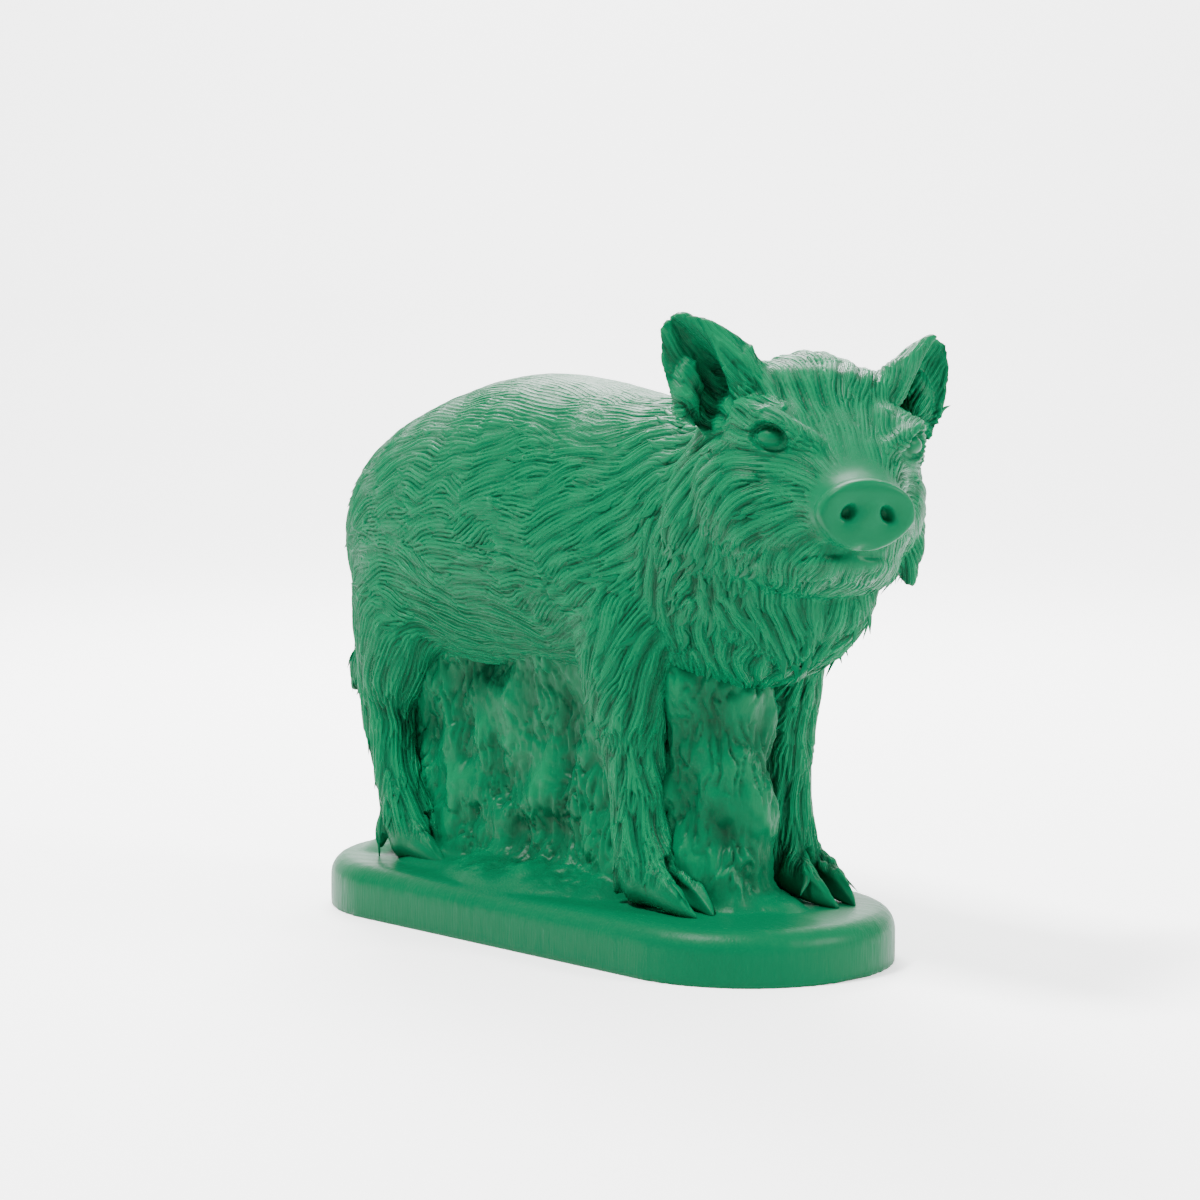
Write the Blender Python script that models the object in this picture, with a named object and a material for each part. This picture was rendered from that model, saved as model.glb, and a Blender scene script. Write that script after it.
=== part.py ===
"""A cast piglet on its plinth: one solid, with a support block of rough ground under the belly."""

import math

import bmesh
import bpy
import numpy as np
from mathutils import Matrix, Vector, noise

# Driving sizes of the real object, in metres
PLINTH_LENGTH = 0.540
PLINTH_WIDTH = 0.226
PLINTH_HEIGHT = 0.041
PLINTH_ROUNDING = 0.016
FIGURE_HEIGHT = 0.444  # from the plinth's top face to the tip of the near ear
ROCK_LENGTH = 0.392
ROCK_WIDTH = 0.092
GRAIN = FIGURE_HEIGHT / 130  # how finely the masses are fused
LOCK_LENGTH = FIGURE_HEIGHT / 10  # spacing of the coarse waves of the coat
LOCK_DEPTH = FIGURE_HEIGHT / 300
TRIANGLES = 9800

# The figure is laid out in its own units, 444 of them from hoof to ear tip.
# x runs forward, y to the piglet's left, z up from the plinth's top face.
FIGURE_UNITS = 444.0
UNIT = FIGURE_HEIGHT / FIGURE_UNITS

SIDES = 32
CAP_RINGS = 4
BETWEEN = 3

# Trunk: centre x, y, z, half width, half height
TRUNK = (
    (-254, 0, 226, 30, 46),
    (-238, 0, 232, 58, 74),
    (-205, 0, 242, 79, 96),
    (-160, 0, 254, 90, 108),
    (-110, 0, 265, 95, 115),
    (-60, 0, 273, 97, 118),
    (-10, 0, 272, 97, 117),
    (50, 0, 265, 92, 114),
    (100, 0, 260, 85, 110),
    (150, 0, 262, 73, 98),
)
NECK = (
    (70, 0, 276, 78, 102),
    (130, -3, 274, 82, 104),
    (170, -8, 280, 82, 98),
    (205, -14, 298, 78, 88),
)
# Chest: the deep front of the ribs, with the bib of hair under the throat
CHEST = (
    (90, 0, 215, 62, 58),
    (140, 0, 212, 62, 54),
    (182, -1, 216, 57, 48),
    (218, -3, 228, 49, 44),
    (246, -6, 242, 40, 36),
)
# Limb stations: x, y, z, half width across, half depth fore and aft
NEAR_FORE_LEG = (
    (92, -48, 262, 36, 50),
    (88, -56, 210, 34, 46),
    (90, -57, 165, 30, 39),
    (96, -56, 120, 23, 27),
    (101, -56, 78, 20, 22),
    (106, -56, 42, 21, 24),
    (116, -56, 18, 22, 25),
)
FAR_FORE_LEG = (
    (136, 44, 240, 36, 44),
    (140, 52, 185, 30, 36),
    (138, 55, 125, 23, 27),
    (140, 55, 78, 19, 21),
    (146, 54, 42, 20, 23),
    (158, 53, 18, 21, 24),
)
NEAR_HIND_LEG = (
    (-165, -40, 240, 50, 66),
    (-176, -50, 195, 38, 54),
    (-186, -54, 155, 28, 37),
    (-194, -55, 118, 19, 24),
    (-184, -55, 76, 18, 20),
    (-170, -55, 42, 20, 23),
    (-158, -55, 16, 21, 24),
)
FAR_HIND_SHIFT = 22
# Hooves: x, y of the toes' middle and turn to the side in degrees
HOOVES = ((128, -56, -4), (172, 51, -6), (-152, -54, -4), (-130, 54, 3))
TAIL = (
    (-246, 0, 290, 11, 11),
    (-268, 2, 256, 9, 9),
    (-280, 3, 215, 7, 7),
    (-288, 3, 170, 7, 7),
    (-298, 3, 140, 10, 10),
    (-304, 3, 120, 5, 5),
)
# Head frame: origin level with the eyes and between the ears, turned to the near side and rolled
HEAD_ORIGIN = (250, -25, 360)
HEAD_YAW = math.radians(-27)
HEAD_ROLL = math.radians(-4)
# Skull and cheek ruff from the crown down: forward, up, half width, half depth
SKULL = (
    (-18, 46, 34, 32),
    (-18, 38, 50, 47),
    (-16, 22, 62, 59),
    (-18, -2, 73, 66),
    (-26, -32, 87, 68),
    (-32, -62, 96, 64),
    (-38, -88, 95, 56),
    (-44, -106, 76, 42),
)
# Face wedge from brow to snout: forward, up, half width, half height
FACE = (
    (10, -18, 60, 52),
    (40, -27, 58, 45),
    (70, -39, 48, 37),
    (97, -48, 38, 29),
    (120, -52, 31, 24),
)
JAW = (
    (-10, -86, 72, 34),
    (38, -90, 58, 27),
    (74, -88, 41, 19),
    (100, -83, 26, 12),
)
SNOUT_SIDE = -6
SNOUT = (
    (110, -51, 29, 22),
    (121, -52, 33, 24),
    (131, -52, 35.5, 25.5),
    (138, -52, 34, 24),
)
# Lumps of ground on the plinth: x, y, z, half length, half width, half height
LUMPS = (
    (-22, -50, -8, 104, 54, 27),
    (60, -46, -8, 30, 40, 22),
    (132, 6, -6, 84, 44, 24),
    (96, -4, 0, 34, 40, 30),
    (-126, -46, -8, 60, 38, 20),
    (-206, 4, -8, 48, 74, 22),
    (-60, 52, -8, 130, 50, 25),
    (104, 60, -10, 60, 36, 18),
)
# Ears, near then far: base and tip as lateral, up
EARS = {-1: ((-66, 22), (-109, 72)), 1: ((74, 20), (98, 71))}


def ring(centre, across, along, half_across, half_along, count=SIDES, power=2.0):
    points = []
    for i in range(count):
        angle = 2 * math.pi * i / count
        c, s = math.cos(angle), math.sin(angle)
        c = math.copysign(abs(c) ** (2 / power), c)
        s = math.copysign(abs(s) ** (2 / power), s)
        points.append(centre + across * (half_across * c) + along * (half_along * s))
    return points


def skin(mesh, rings):
    """Bridges a run of rings and closes both ends with a fan."""
    loops = [[mesh.verts.new(p) for p in points] for points in rings]
    for first, second in zip(loops, loops[1:]):
        count = len(first)
        for i in range(count):
            j = (i + 1) % count
            mesh.faces.new((first[i], first[j], second[j], second[i]))
    mesh.faces.new(loops[0][::-1])
    mesh.faces.new(loops[-1])


def smoothed(stations):
    """Adds stations in between, on a smooth curve through the given ones."""
    rows = [list(s[0]) + [s[1], s[2]] for s in stations]
    last = len(rows) - 1
    result = []
    for i in range(last):
        a, b, c, d = rows[max(i - 1, 0)], rows[i], rows[i + 1], rows[min(i + 2, last)]
        for k in range(BETWEEN):
            t = k / BETWEEN
            row = [0.5 * (2 * q + (r - p) * t + (2 * p - 5 * q + 4 * r - w) * t * t
                          + (3 * q - p - 3 * r + w) * t ** 3) for p, q, r, w in zip(a, b, c, d)]
            result.append((Vector(row[:3]), row[3], row[4]))
    result.append((Vector(rows[last][:3]), rows[last][3], rows[last][4]))
    return result


def limb(mesh, stations, side=Vector((0, 1, 0)), cap=0.8):
    """A closed tube through stations of (centre, half across, half along)."""
    stations = smoothed(stations)
    centres = [Vector(s[0]) for s in stations]
    rings = []
    last = len(stations) - 1
    for i, (centre, across_size, along_size) in enumerate(stations):
        tangent = (centres[min(i + 1, last)] - centres[max(i - 1, 0)]).normalized()
        across = (side - tangent * side.dot(tangent)).normalized()
        along = tangent.cross(across)
        if i == 0 and cap:
            depth = min(across_size, along_size) * cap
            for k in range(CAP_RINGS, 0, -1):
                angle = math.pi / 2 * k / (CAP_RINGS + 0.4)
                shrink = math.cos(angle)
                rings.append(ring(centres[0] - tangent * depth * math.sin(angle), across, along,
                                  across_size * shrink, along_size * shrink))
        rings.append(ring(centres[i], across, along, across_size, along_size))
        if i == last and cap:
            depth = min(across_size, along_size) * cap
            for k in range(1, CAP_RINGS + 1):
                angle = math.pi / 2 * k / (CAP_RINGS + 0.4)
                shrink = math.cos(angle)
                rings.append(ring(centres[i] + tangent * depth * math.sin(angle), across, along,
                                  across_size * shrink, along_size * shrink))
    skin(mesh, rings)


def ball(mesh, centre, sizes, turn=None, rings_count=16):
    """An ellipsoid with half sizes along its own axes, turned by a matrix."""
    turn = turn or Matrix.Identity(3)
    found = bmesh.ops.create_uvsphere(mesh, u_segments=SIDES, v_segments=rings_count, radius=1.0)
    for vertex in found["verts"]:
        local = Vector([c * s for c, s in zip(vertex.co, sizes)])
        vertex.co = Vector(centre) + turn @ local


def head_turn(pitch=0.0):
    return (Matrix.Rotation(HEAD_YAW, 3, "Z") @ Matrix.Rotation(HEAD_ROLL, 3, "X")
            @ Matrix.Rotation(pitch, 3, "Y"))


def head_point(forward, left, up):
    """A point of the head frame, in figure units."""
    return Vector(HEAD_ORIGIN) + head_turn() @ Vector((forward, left, up))


def head(mesh):
    left_axis = head_turn() @ Vector((0, 1, 0))
    limb(mesh, [(head_point(f, 0, u), w, d) for f, u, w, d in SKULL], left_axis, cap=0.25)
    limb(mesh, [(head_point(f, -6 * (f / 120) ** 2, u), w, h) for f, u, w, h in FACE], left_axis)
    limb(mesh, [(head_point(f, 0, u), w, h) for f, u, w, h in JAW], left_axis)
    limb(mesh, [(head_point(f, SNOUT_SIDE, u), w, h) for f, u, w, h in SNOUT], left_axis, cap=0)
    limb(mesh, [(head_point(12, 72, -82), 15, 15), (head_point(15, 75, -106), 5, 6)], left_axis)
    for side in (-1, 1):
        ball(mesh, head_point(20, side * 34, -10), (44, 38, 31), head_turn())
        ball(mesh, head_point(4, side * (39 - 3 * side), -48), (62, 46, 50), head_turn(0.2))
        limb(mesh, [(head_point(26, side * 38, -56), 36, 36), (head_point(60, side * 25, -62), 29, 29),
                    (head_point(88, side * 13, -63), 22, 20)], left_axis)
        limb(mesh, [(head_point(26, side * (65 - 2 * side), 15), 7, 8),
                    (head_point(57, side * 57, 12), 9, 9),
                    (head_point(74, side * 36, 1), 9, 8), (head_point(84, side * 22, -10), 6, 5)], left_axis)
        # hair that climbs the inner edge of the ear, and the fold at its outer foot
        limb(mesh, [(head_point(0, side * 50, 30), 16, 16), (head_point(-1, side * 66, 48), 10, 10),
                    (head_point(-6, side * 80, 62), 4, 5)], left_axis)
        ball(mesh, head_point(-17, side * (88 - 4 * side), 22), (11, 11, 24), head_turn())


def cup_share(v):
    """Depth of the ear's hollow: a long slope from the outer edge, then a haired fold inside."""
    if v < 0.15:
        return 1 - ((0.15 - v) / 1.15) ** 1.5
    across = (v - 0.15) / 0.85
    return 1 - 1.35 * min(across / 0.4, 1) + 0.35 * max(across - 0.4, 0) / 0.6


def ear(mesh, side):
    """A leaf-shaped cup: a front and a back surface, joined round the rim."""
    steps_up, steps_across = 12, 14
    turn = head_turn()
    (base_y, base_z), (tip_y, tip_z) = EARS[side]
    base = head_point(-4, base_y, base_z)
    tip = head_point(-14, tip_y, tip_z)
    axis = (tip - base).normalized()
    across = turn @ Vector((0.30, -side * 0.8, 0.5))
    across = (across - axis * across.dot(axis)).normalized()
    facing = axis.cross(across) * side
    sink = 18
    length, half_width, thickness = (tip - base).length + sink, (31 if side > 0 else 34), 9
    front, back = [], []
    for i in range(steps_up + 1):
        u = i / steps_up
        width = half_width * max(math.sin(math.pi * (0.30 + 0.66 * u)) ** 0.7, 0.03)
        row_front, row_back = [], []
        for j in range(steps_across + 1):
            v = 2 * j / steps_across - 1
            cup = 30 * (1 - v * v) * (1 - 0.8 * u)
            hollow = cup_share(v) * 30 * (1 - 0.8 * u)
            centre = base + axis * (length * u - sink) + across * (width * v)
            edge = thickness * (0.6 + 0.4 * (1 - v * v)) * (1.0 - 0.25 * u)
            row_front.append(centre - facing * min(cup, hollow))
            row_back.append(centre - facing * (cup + edge))
        front.append(row_front)
        back.append(row_back)
    grid_f = [[mesh.verts.new(p) for p in row] for row in front]
    grid_b = [[mesh.verts.new(p) for p in row] for row in back]
    for i in range(steps_up):
        for j in range(steps_across):
            mesh.faces.new((grid_f[i][j], grid_f[i][j + 1], grid_f[i + 1][j + 1], grid_f[i + 1][j]))
            mesh.faces.new((grid_b[i][j], grid_b[i + 1][j], grid_b[i + 1][j + 1], grid_b[i][j + 1]))
    border = ([(0, j) for j in range(steps_across)] + [(i, steps_across) for i in range(steps_up)]
              + [(steps_up, j) for j in range(steps_across, 0, -1)]
              + [(i, 0) for i in range(steps_up, 0, -1)])
    for (a, b), (c, d) in zip(border, border[1:] + border[:1]):
        mesh.faces.new((grid_f[c][d], grid_f[a][b], grid_b[a][b], grid_b[c][d]))


def hoof(mesh, x, y, turned):
    """Two toes side by side, pointing forward and down, and two dewclaws behind."""
    turn = Matrix.Rotation(math.radians(turned), 3, "Z")
    place = Vector((x, y, 0))
    for side in (-1, 1):
        limb(mesh, ((place + turn @ Vector((-18, side * 8, 30)), 12, 17),
                    (place + turn @ Vector((-2, side * 10.5, 20)), 12.5, 17),
                    (place + turn @ Vector((16, side * 10.5, 10)), 11, 12.5),
                    (place + turn @ Vector((31, side * 8, 3)), 7.5, 7),
                    (place + turn @ Vector((39, side * 6, 0)), 3.5, 3)))
        limb(mesh, ((place + turn @ Vector((-26, side * 12, 36)), 8, 9),
                    (place + turn @ Vector((-32, side * 15, 20)), 7, 7),
                    (place + turn @ Vector((-34, side * 16, 8)), 4, 4)))


def rock(mesh):
    """The block under the belly: nearly straight walls, scooped by the tool, flared at the foot."""
    half = ROCK_LENGTH / UNIT / 2
    wide = ROCK_WIDTH / UNIT / 2
    middle = -22
    rings = []
    for level in range(-20, 221, 8):
        flare = math.exp(-max(level + 6, 0) / 16)
        waist = 1 - 0.10 * math.exp(-((level - 75) / 45) ** 2)
        row = []
        for i in range(120):
            angle = 2 * math.pi * i / 120
            c, q = math.cos(angle), math.sin(angle)
            x = middle + half * (1 + 0.09 * flare) * math.copysign(abs(c) ** 0.5, c)
            y = wide * (waist + 0.75 * flare) * math.copysign(abs(q) ** 0.5, q)
            y *= 1 + 0.16 * ((x - middle) / half) ** 2
            near = noise.voronoi(Vector((x / 46, y / 46, level / 66)))[0][0]
            rough = 15 * (near - 0.42) + 6 * noise.noise(Vector((x / 22, y / 22, level / 26)))
            row.append(Vector((x + 0.7 * c * rough, y + q * rough, level)))
        rings.append(row)
    skin(mesh, rings)
    for x, y, z, long_size, wide_size, high in LUMPS:
        ball(mesh, Vector((x, y, z)), (long_size, wide_size, high))


def plinth(mesh):
    rows = []
    steps = 5
    count = 96
    profile = [(0.0, 0.0), (0.0, PLINTH_HEIGHT - PLINTH_ROUNDING)]
    for k in range(1, steps + 1):
        angle = math.pi / 2 * k / steps
        profile.append((PLINTH_ROUNDING * (1 - math.cos(angle)),
                        PLINTH_HEIGHT - PLINTH_ROUNDING * (1 - math.sin(angle))))
    for inset, height in profile:
        radius = PLINTH_WIDTH / 2 - inset
        straight = PLINTH_LENGTH / 2 - PLINTH_WIDTH / 2
        row = []
        for i in range(count):
            angle = 2 * math.pi * (i + 0.5) / count
            c, s = math.cos(angle), math.sin(angle)
            row.append(Vector((math.copysign(straight, c) + radius * c, radius * s, height)))
        rows.append(row)
    skin(mesh, rows)


def to_world(mesh):
    for vertex in mesh.verts:
        vertex.co = Vector((vertex.co.x * UNIT, vertex.co.y * UNIT, vertex.co.z * UNIT + PLINTH_HEIGHT))


def masses():
    mesh = bmesh.new()
    for stations in (TRUNK, NECK, CHEST, NEAR_FORE_LEG, FAR_FORE_LEG, NEAR_HIND_LEG, TAIL):
        limb(mesh, [(Vector((x, y, z)), w, h) for x, y, z, w, h in stations])
    limb(mesh, [(Vector((x + FAR_HIND_SHIFT, -y, z)), w, h) for x, y, z, w, h in NEAR_HIND_LEG])
    head(mesh)
    ear(mesh, -1)
    ear(mesh, 1)
    for x, y, turned in HOOVES:
        hoof(mesh, x, y, turned)
    rock(mesh)
    to_world(mesh)
    plinth(mesh)
    bmesh.ops.recalc_face_normals(mesh, faces=mesh.faces)
    return mesh


def evaluated(obj):
    """The object's mesh with its modifiers worked in, as a mesh of its own."""
    view = bpy.context.evaluated_depsgraph_get()
    return bpy.data.meshes.new_from_object(obj.evaluated_get(view))


def keep_outer_skin(data):
    """Drops the small pockets that the fusing leaves shut inside, so the casting is one closed body."""
    mesh = bmesh.new()
    mesh.from_mesh(data)
    left = set(mesh.verts)
    islands = []
    while left:
        island = set()
        front = [left.pop()]
        while front:
            vertex = front.pop()
            island.add(vertex)
            for edge in vertex.link_edges:
                other = edge.other_vert(vertex)
                if other in left:
                    left.remove(other)
                    front.append(other)
        islands.append(island)
    islands.sort(key=len)
    for island in islands[:-1]:
        bmesh.ops.delete(mesh, geom=list(island), context="VERTS")
    mesh.to_mesh(data)
    mesh.free()


def positions(data):
    values = np.empty(len(data.vertices) * 3)
    data.vertices.foreach_get("co", values)
    return values.reshape(-1, 3)


def soft_share(points):
    """How far each point may be softened: less on the plinth, the ears, the snout and the hooves."""
    share = np.ones(len(points))
    share[points[:, 2] < PLINTH_HEIGHT + 0.001] = 0.12
    snout = np.array(head_point(128, 0, -50)) * UNIT + (0, 0, PLINTH_HEIGHT)
    share[np.linalg.norm(points - snout, axis=1) < 0.040] = 0.3
    for side in (-1, 1):
        for lateral, up in EARS[side]:
            spot = np.array(head_point(-8, lateral, up)) * UNIT + (0, 0, PLINTH_HEIGHT)
            share[np.linalg.norm(points - spot, axis=1) < 0.034] = 0.3
        eye = np.array(head_point(62, side * 49, -4)) * UNIT + (0, 0, PLINTH_HEIGHT)
        share[np.linalg.norm(points - eye, axis=1) < 0.024] = 0.3
    low = (points[:, 2] < PLINTH_HEIGHT + 0.034) & (points[:, 2] >= PLINTH_HEIGHT + 0.001)
    share[low] = 0.45
    return share


def soften(data, rounds):
    points = positions(data)
    edges = np.empty(len(data.edges) * 2, dtype=int)
    data.edges.foreach_get("vertices", edges)
    edges = edges.reshape(-1, 2)
    count = np.bincount(edges.ravel(), minlength=len(points))
    share = (soft_share(points) * 0.6)[:, None]
    for _ in range(rounds):
        total = np.zeros_like(points)
        for axis in range(3):
            total[:, axis] = (np.bincount(edges[:, 0], points[edges[:, 1], axis], len(points))
                              + np.bincount(edges[:, 1], points[edges[:, 0], axis], len(points)))
        points = points + (total / count[:, None] - points) * share
    data.vertices.foreach_set("co", points.ravel())
    data.update()


def near_line(points, line):
    """Distance of each point to a bent line."""
    nearest = np.full(len(points), np.inf)
    for start, end in zip(line, line[1:]):
        start, along = np.array(start, dtype=float), np.array(end, dtype=float) - start
        share = np.clip((points - start) @ along / (along @ along), 0, 1)
        nearest = np.minimum(nearest, np.linalg.norm(points - start - share[:, None] * along, axis=1))
    return nearest


def press_nostrils(data):
    """The snout's outline, its two nostrils and the crease of the mouth, pressed into the head."""
    points = positions(data)
    normals = np.empty(len(points) * 3)
    data.vertices.foreach_get("normal", normals)
    axes = np.array(head_turn())
    origin = np.array(HEAD_ORIGIN) * UNIT + (0, 0, PLINTH_HEIGHT)
    local = (points - origin) @ axes / UNIT
    disc = np.clip((local[:, 0] - 112) / 14, 0, 1)
    low = np.clip((-54 - local[:, 2]) / 24, 0, 1)
    move = np.zeros_like(local)
    move[:, 1] = -0.20 * low * disc * (local[:, 1] - SNOUT_SIDE)
    move[:, 0] = 0.16 * disc * (local[:, 2] + 54)
    for side in (-1, 1):
        away = np.hypot(local[:, 1] - SNOUT_SIDE - side * 14, local[:, 2] + 51)
        move[:, 0] -= 7 * disc * np.exp(-(away / 4.6) ** 2)
    move[:, 0] -= 4 * disc * np.exp(-((local[:, 1] - SNOUT_SIDE) / 6) ** 2 - ((local[:, 2] + 75) / 3.5) ** 2)
    points += move @ axes.T * UNIT
    for side in (-1, 1):
        line = [(116, SNOUT_SIDE, -80), (104, side * 20, -80), (82, side * 34, -76), (66, side * 44, -66)]
        crease = 4.5 * np.exp(-(near_line(local, line) / 4.5) ** 2)
        points -= crease[:, None] * UNIT * normals.reshape(-1, 3)
    data.vertices.foreach_set("co", points.ravel())
    data.update()


def carve_eyes(data):
    """A lens-shaped eye under the brow, with a lid rim round it, on each side of the face."""
    points = positions(data)
    axes = np.array(head_turn())
    origin = np.array(HEAD_ORIGIN) * UNIT + (0, 0, PLINTH_HEIGHT)
    for side in (-1, 1):
        local = (points - origin) @ axes / UNIT - (61, side * 55, -6)
        out = Vector((0.74, side * 0.66, 0.02)).normalized()
        rise = (Vector((0, 0, 1)) - out * out.z).normalized()
        across = rise.cross(out)
        depth = local @ np.array(out)
        radius = np.hypot(local @ np.array(across) / 10.5, local @ np.array(rise) / 7.6)
        flat = np.clip((1.8 - radius) / 0.6, 0, 1) * (np.abs(depth) < 22)
        lens = 6 * np.sqrt(np.clip(1 - radius ** 2, 0, 1)) + 2 * np.exp(-((radius - 1.2) / 0.15) ** 2)
        wanted = lens - 2.5 * np.exp(-((radius - 1.5) / 0.3) ** 2) - 4
        points += ((wanted - depth) * flat)[:, None] * UNIT * (axes @ np.array(out))
    data.vertices.foreach_set("co", points.ravel())
    data.update()


def raise_locks(data):
    """Coarse wavy locks of the coat, long along the body and narrow across."""
    points = positions(data)
    normals = np.empty(len(points) * 3)
    data.vertices.foreach_get("normal", normals)
    share = np.clip(soft_share(points) * 1.4 - 0.4, 0, 1)
    lift = np.array([1 - 2.4 * abs(noise.noise(Vector((x / LOCK_LENGTH + 2 * z / LOCK_LENGTH,
                                                       y * 2.4 / LOCK_LENGTH, z * 2.4 / LOCK_LENGTH))))
                     for x, y, z in points.tolist()])
    points += normals.reshape(-1, 3) * (lift * share * LOCK_DEPTH)[:, None]
    data.vertices.foreach_set("co", points.ravel())
    data.update()


def main():
    for obj in list(bpy.data.objects):
        bpy.data.objects.remove(obj)
    mesh = masses()
    data = bpy.data.meshes.new("piglet_masses")
    mesh.to_mesh(data)
    mesh.free()
    masses_object = bpy.data.objects.new("piglet_masses", data)
    bpy.context.scene.collection.objects.link(masses_object)
    fuse = masses_object.modifiers.new("fuse", "REMESH")
    fuse.mode = "VOXEL"
    fuse.voxel_size = GRAIN
    data = evaluated(masses_object)
    bpy.data.objects.remove(masses_object)
    keep_outer_skin(data)
    soften(data, 12)
    press_nostrils(data)
    carve_eyes(data)
    raise_locks(data)
    data.name = "piglet_sculpture"
    piglet = bpy.data.objects.new("piglet_sculpture", data)
    bpy.context.scene.collection.objects.link(piglet)
    triangles = sum(len(face.vertices) - 2 for face in data.polygons)
    thin = piglet.modifiers.new("thin", "DECIMATE")
    thin.ratio = TRIANGLES / triangles
    paint = bpy.data.materials.new("green_coat")
    paint.use_nodes = True
    shader = paint.node_tree.nodes["Principled BSDF"]
    shader.inputs["Base Color"].default_value = (0.0, 0.27, 0.10, 1.0)
    shader.inputs["Roughness"].default_value = 0.40
    shader.inputs["Metallic"].default_value = 0.0
    data.materials.clear()
    data.materials.append(paint)


main()
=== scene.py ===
import math

import bmesh
import bpy
import numpy as np
from mathutils import Matrix, Vector, noise

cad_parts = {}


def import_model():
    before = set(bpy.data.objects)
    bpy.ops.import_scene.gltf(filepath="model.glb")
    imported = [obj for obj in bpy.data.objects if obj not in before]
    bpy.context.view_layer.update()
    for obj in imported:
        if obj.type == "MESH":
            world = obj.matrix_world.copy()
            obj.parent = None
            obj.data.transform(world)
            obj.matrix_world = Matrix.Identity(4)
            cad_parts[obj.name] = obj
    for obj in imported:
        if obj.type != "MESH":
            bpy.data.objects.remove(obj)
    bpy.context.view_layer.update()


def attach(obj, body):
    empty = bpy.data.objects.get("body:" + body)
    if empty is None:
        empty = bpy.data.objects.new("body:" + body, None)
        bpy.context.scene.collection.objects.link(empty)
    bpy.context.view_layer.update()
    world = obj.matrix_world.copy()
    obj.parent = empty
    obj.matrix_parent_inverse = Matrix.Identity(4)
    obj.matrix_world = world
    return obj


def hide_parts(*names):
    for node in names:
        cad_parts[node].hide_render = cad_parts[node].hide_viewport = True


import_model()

# The piglet: everything a user would change
piglet = {
    "height": 0.444,           # plinth top to the near ear tip
    "grain": 0.00120,          # how finely the coat is meshed
    "triangles": 725000,       # what the carved coat is thinned to
    "softRounds": 60,
    "strandSpacing": 0.0037,
    "strandDepth": 0.00185,
    "bundleSpacing": 0.0140,
    "bundleDepth": 0.0014,
    "stepSpacing": 0.046,
    "stepDepth": 0.0017,
    "lockLength": 0.024,
    "lockWidth": 0.0070,
    "lockThickness": 0.0011,
    "lockSink": 0.0012,
    "lockLift": 0.0010,
    "lockSpacing": 0.0070,     # least distance between two lock roots
    "lockDensity": 11000.0,    # most locks on a square metre
    "seed": 7,
    "green": (0.0, 0.092, 0.035),
    "roughness": 0.37,
    "shine": 0.06,
}
# The plinth with the rough block of ground that carries the belly
ground = {
    "length": 0.540,
    "width": 0.226,
    "height": 0.041,
    "rounding": 0.016,
    "blockLength": 0.392,
    "blockWidth": 0.092,
    "grain": 0.0020,
    "triangles": 135000,
    "rakeDepth": 0.0003,
}

# Features of the face and feet in figure units; places are forward, aside and up in the head's frame
features = {
    "eye": (61, 55, -5),
    "eyeWidth": 9.8,
    "eyeHeight": 6.6,
    "eyeBulge": 6.6,
    "eyeFacing": (0.74, 0.66, 0.02),
    "nostrilApart": 14,
    "nostrilUp": -50.5,
    "nostrilRadius": 4.6,
    "nostrilDepth": 8,
    "mouthDepth": 3.4,
    "cleftDepth": 7.5,
    "cleftWidth": 2.6,
}
figureHeight = 444             # the same height in figure units
unit = piglet["height"] / figureHeight
top = ground["height"]
sides = 40
capRings = 5
between = 4

# Trunk: centre x, y, z, half width, half height
trunk = (
    (-254, 0, 226, 30, 46),
    (-238, 0, 232, 58, 74),
    (-205, 0, 242, 79, 96),
    (-160, 0, 254, 90, 108),
    (-110, 0, 265, 95, 115),
    (-60, 0, 273, 97, 118),
    (-10, 0, 272, 97, 117),
    (50, 0, 265, 92, 114),
    (100, 0, 260, 85, 110),
    (150, 0, 262, 73, 98),
)
neck = (
    (70, 0, 276, 78, 102),
    (130, -3, 274, 82, 104),
    (170, -8, 280, 82, 98),
    (205, -14, 298, 78, 88),
)
# Chest: the deep front of the ribs, with the bib of hair under the throat
chest = (
    (90, 0, 215, 62, 58),
    (140, 0, 212, 62, 54),
    (182, -1, 216, 57, 48),
    (218, -3, 228, 49, 44),
    (246, -6, 242, 40, 36),
)
# Limb stations: x, y, z, half width across, half depth fore and aft
nearForeLeg = (
    (92, -48, 262, 36, 50),
    (88, -56, 210, 34, 46),
    (90, -57, 165, 30, 39),
    (96, -56, 120, 23, 27),
    (101, -56, 78, 20, 22),
    (106, -56, 42, 21, 24),
    (116, -56, 18, 22, 25),
)
farForeLeg = (
    (136, 44, 240, 36, 44),
    (140, 52, 185, 32, 40),
    (137, 52, 125, 27, 34),
    (139, 52, 78, 24, 29),
    (146, 53, 42, 23, 27),
    (158, 53, 18, 22, 26),
)
nearHindLeg = (
    (-165, -40, 240, 50, 66),
    (-176, -50, 195, 38, 54),
    (-186, -54, 155, 28, 37),
    (-194, -55, 118, 19, 24),
    (-184, -55, 76, 18, 20),
    (-170, -55, 42, 20, 23),
    (-158, -55, 16, 21, 24),
)
farHindShift = 22
# Hooves: x, y of the toes' middle and turn to the side in degrees
hooves = ((128, -56, -4), (172, 51, -6), (-152, -54, -4), (-130, 54, 3))
tail = (
    (-246, 0, 290, 11, 11),
    (-268, 2, 256, 9, 9),
    (-280, 3, 215, 7, 7),
    (-288, 3, 170, 7, 7),
    (-298, 3, 140, 10, 10),
    (-304, 3, 120, 5, 5),
)
# Head frame: origin level with the eyes and between the ears, turned to the near side and rolled
headOrigin = (250, -25, 360)
headYaw = math.radians(-27)
headRoll = math.radians(-4)
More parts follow.
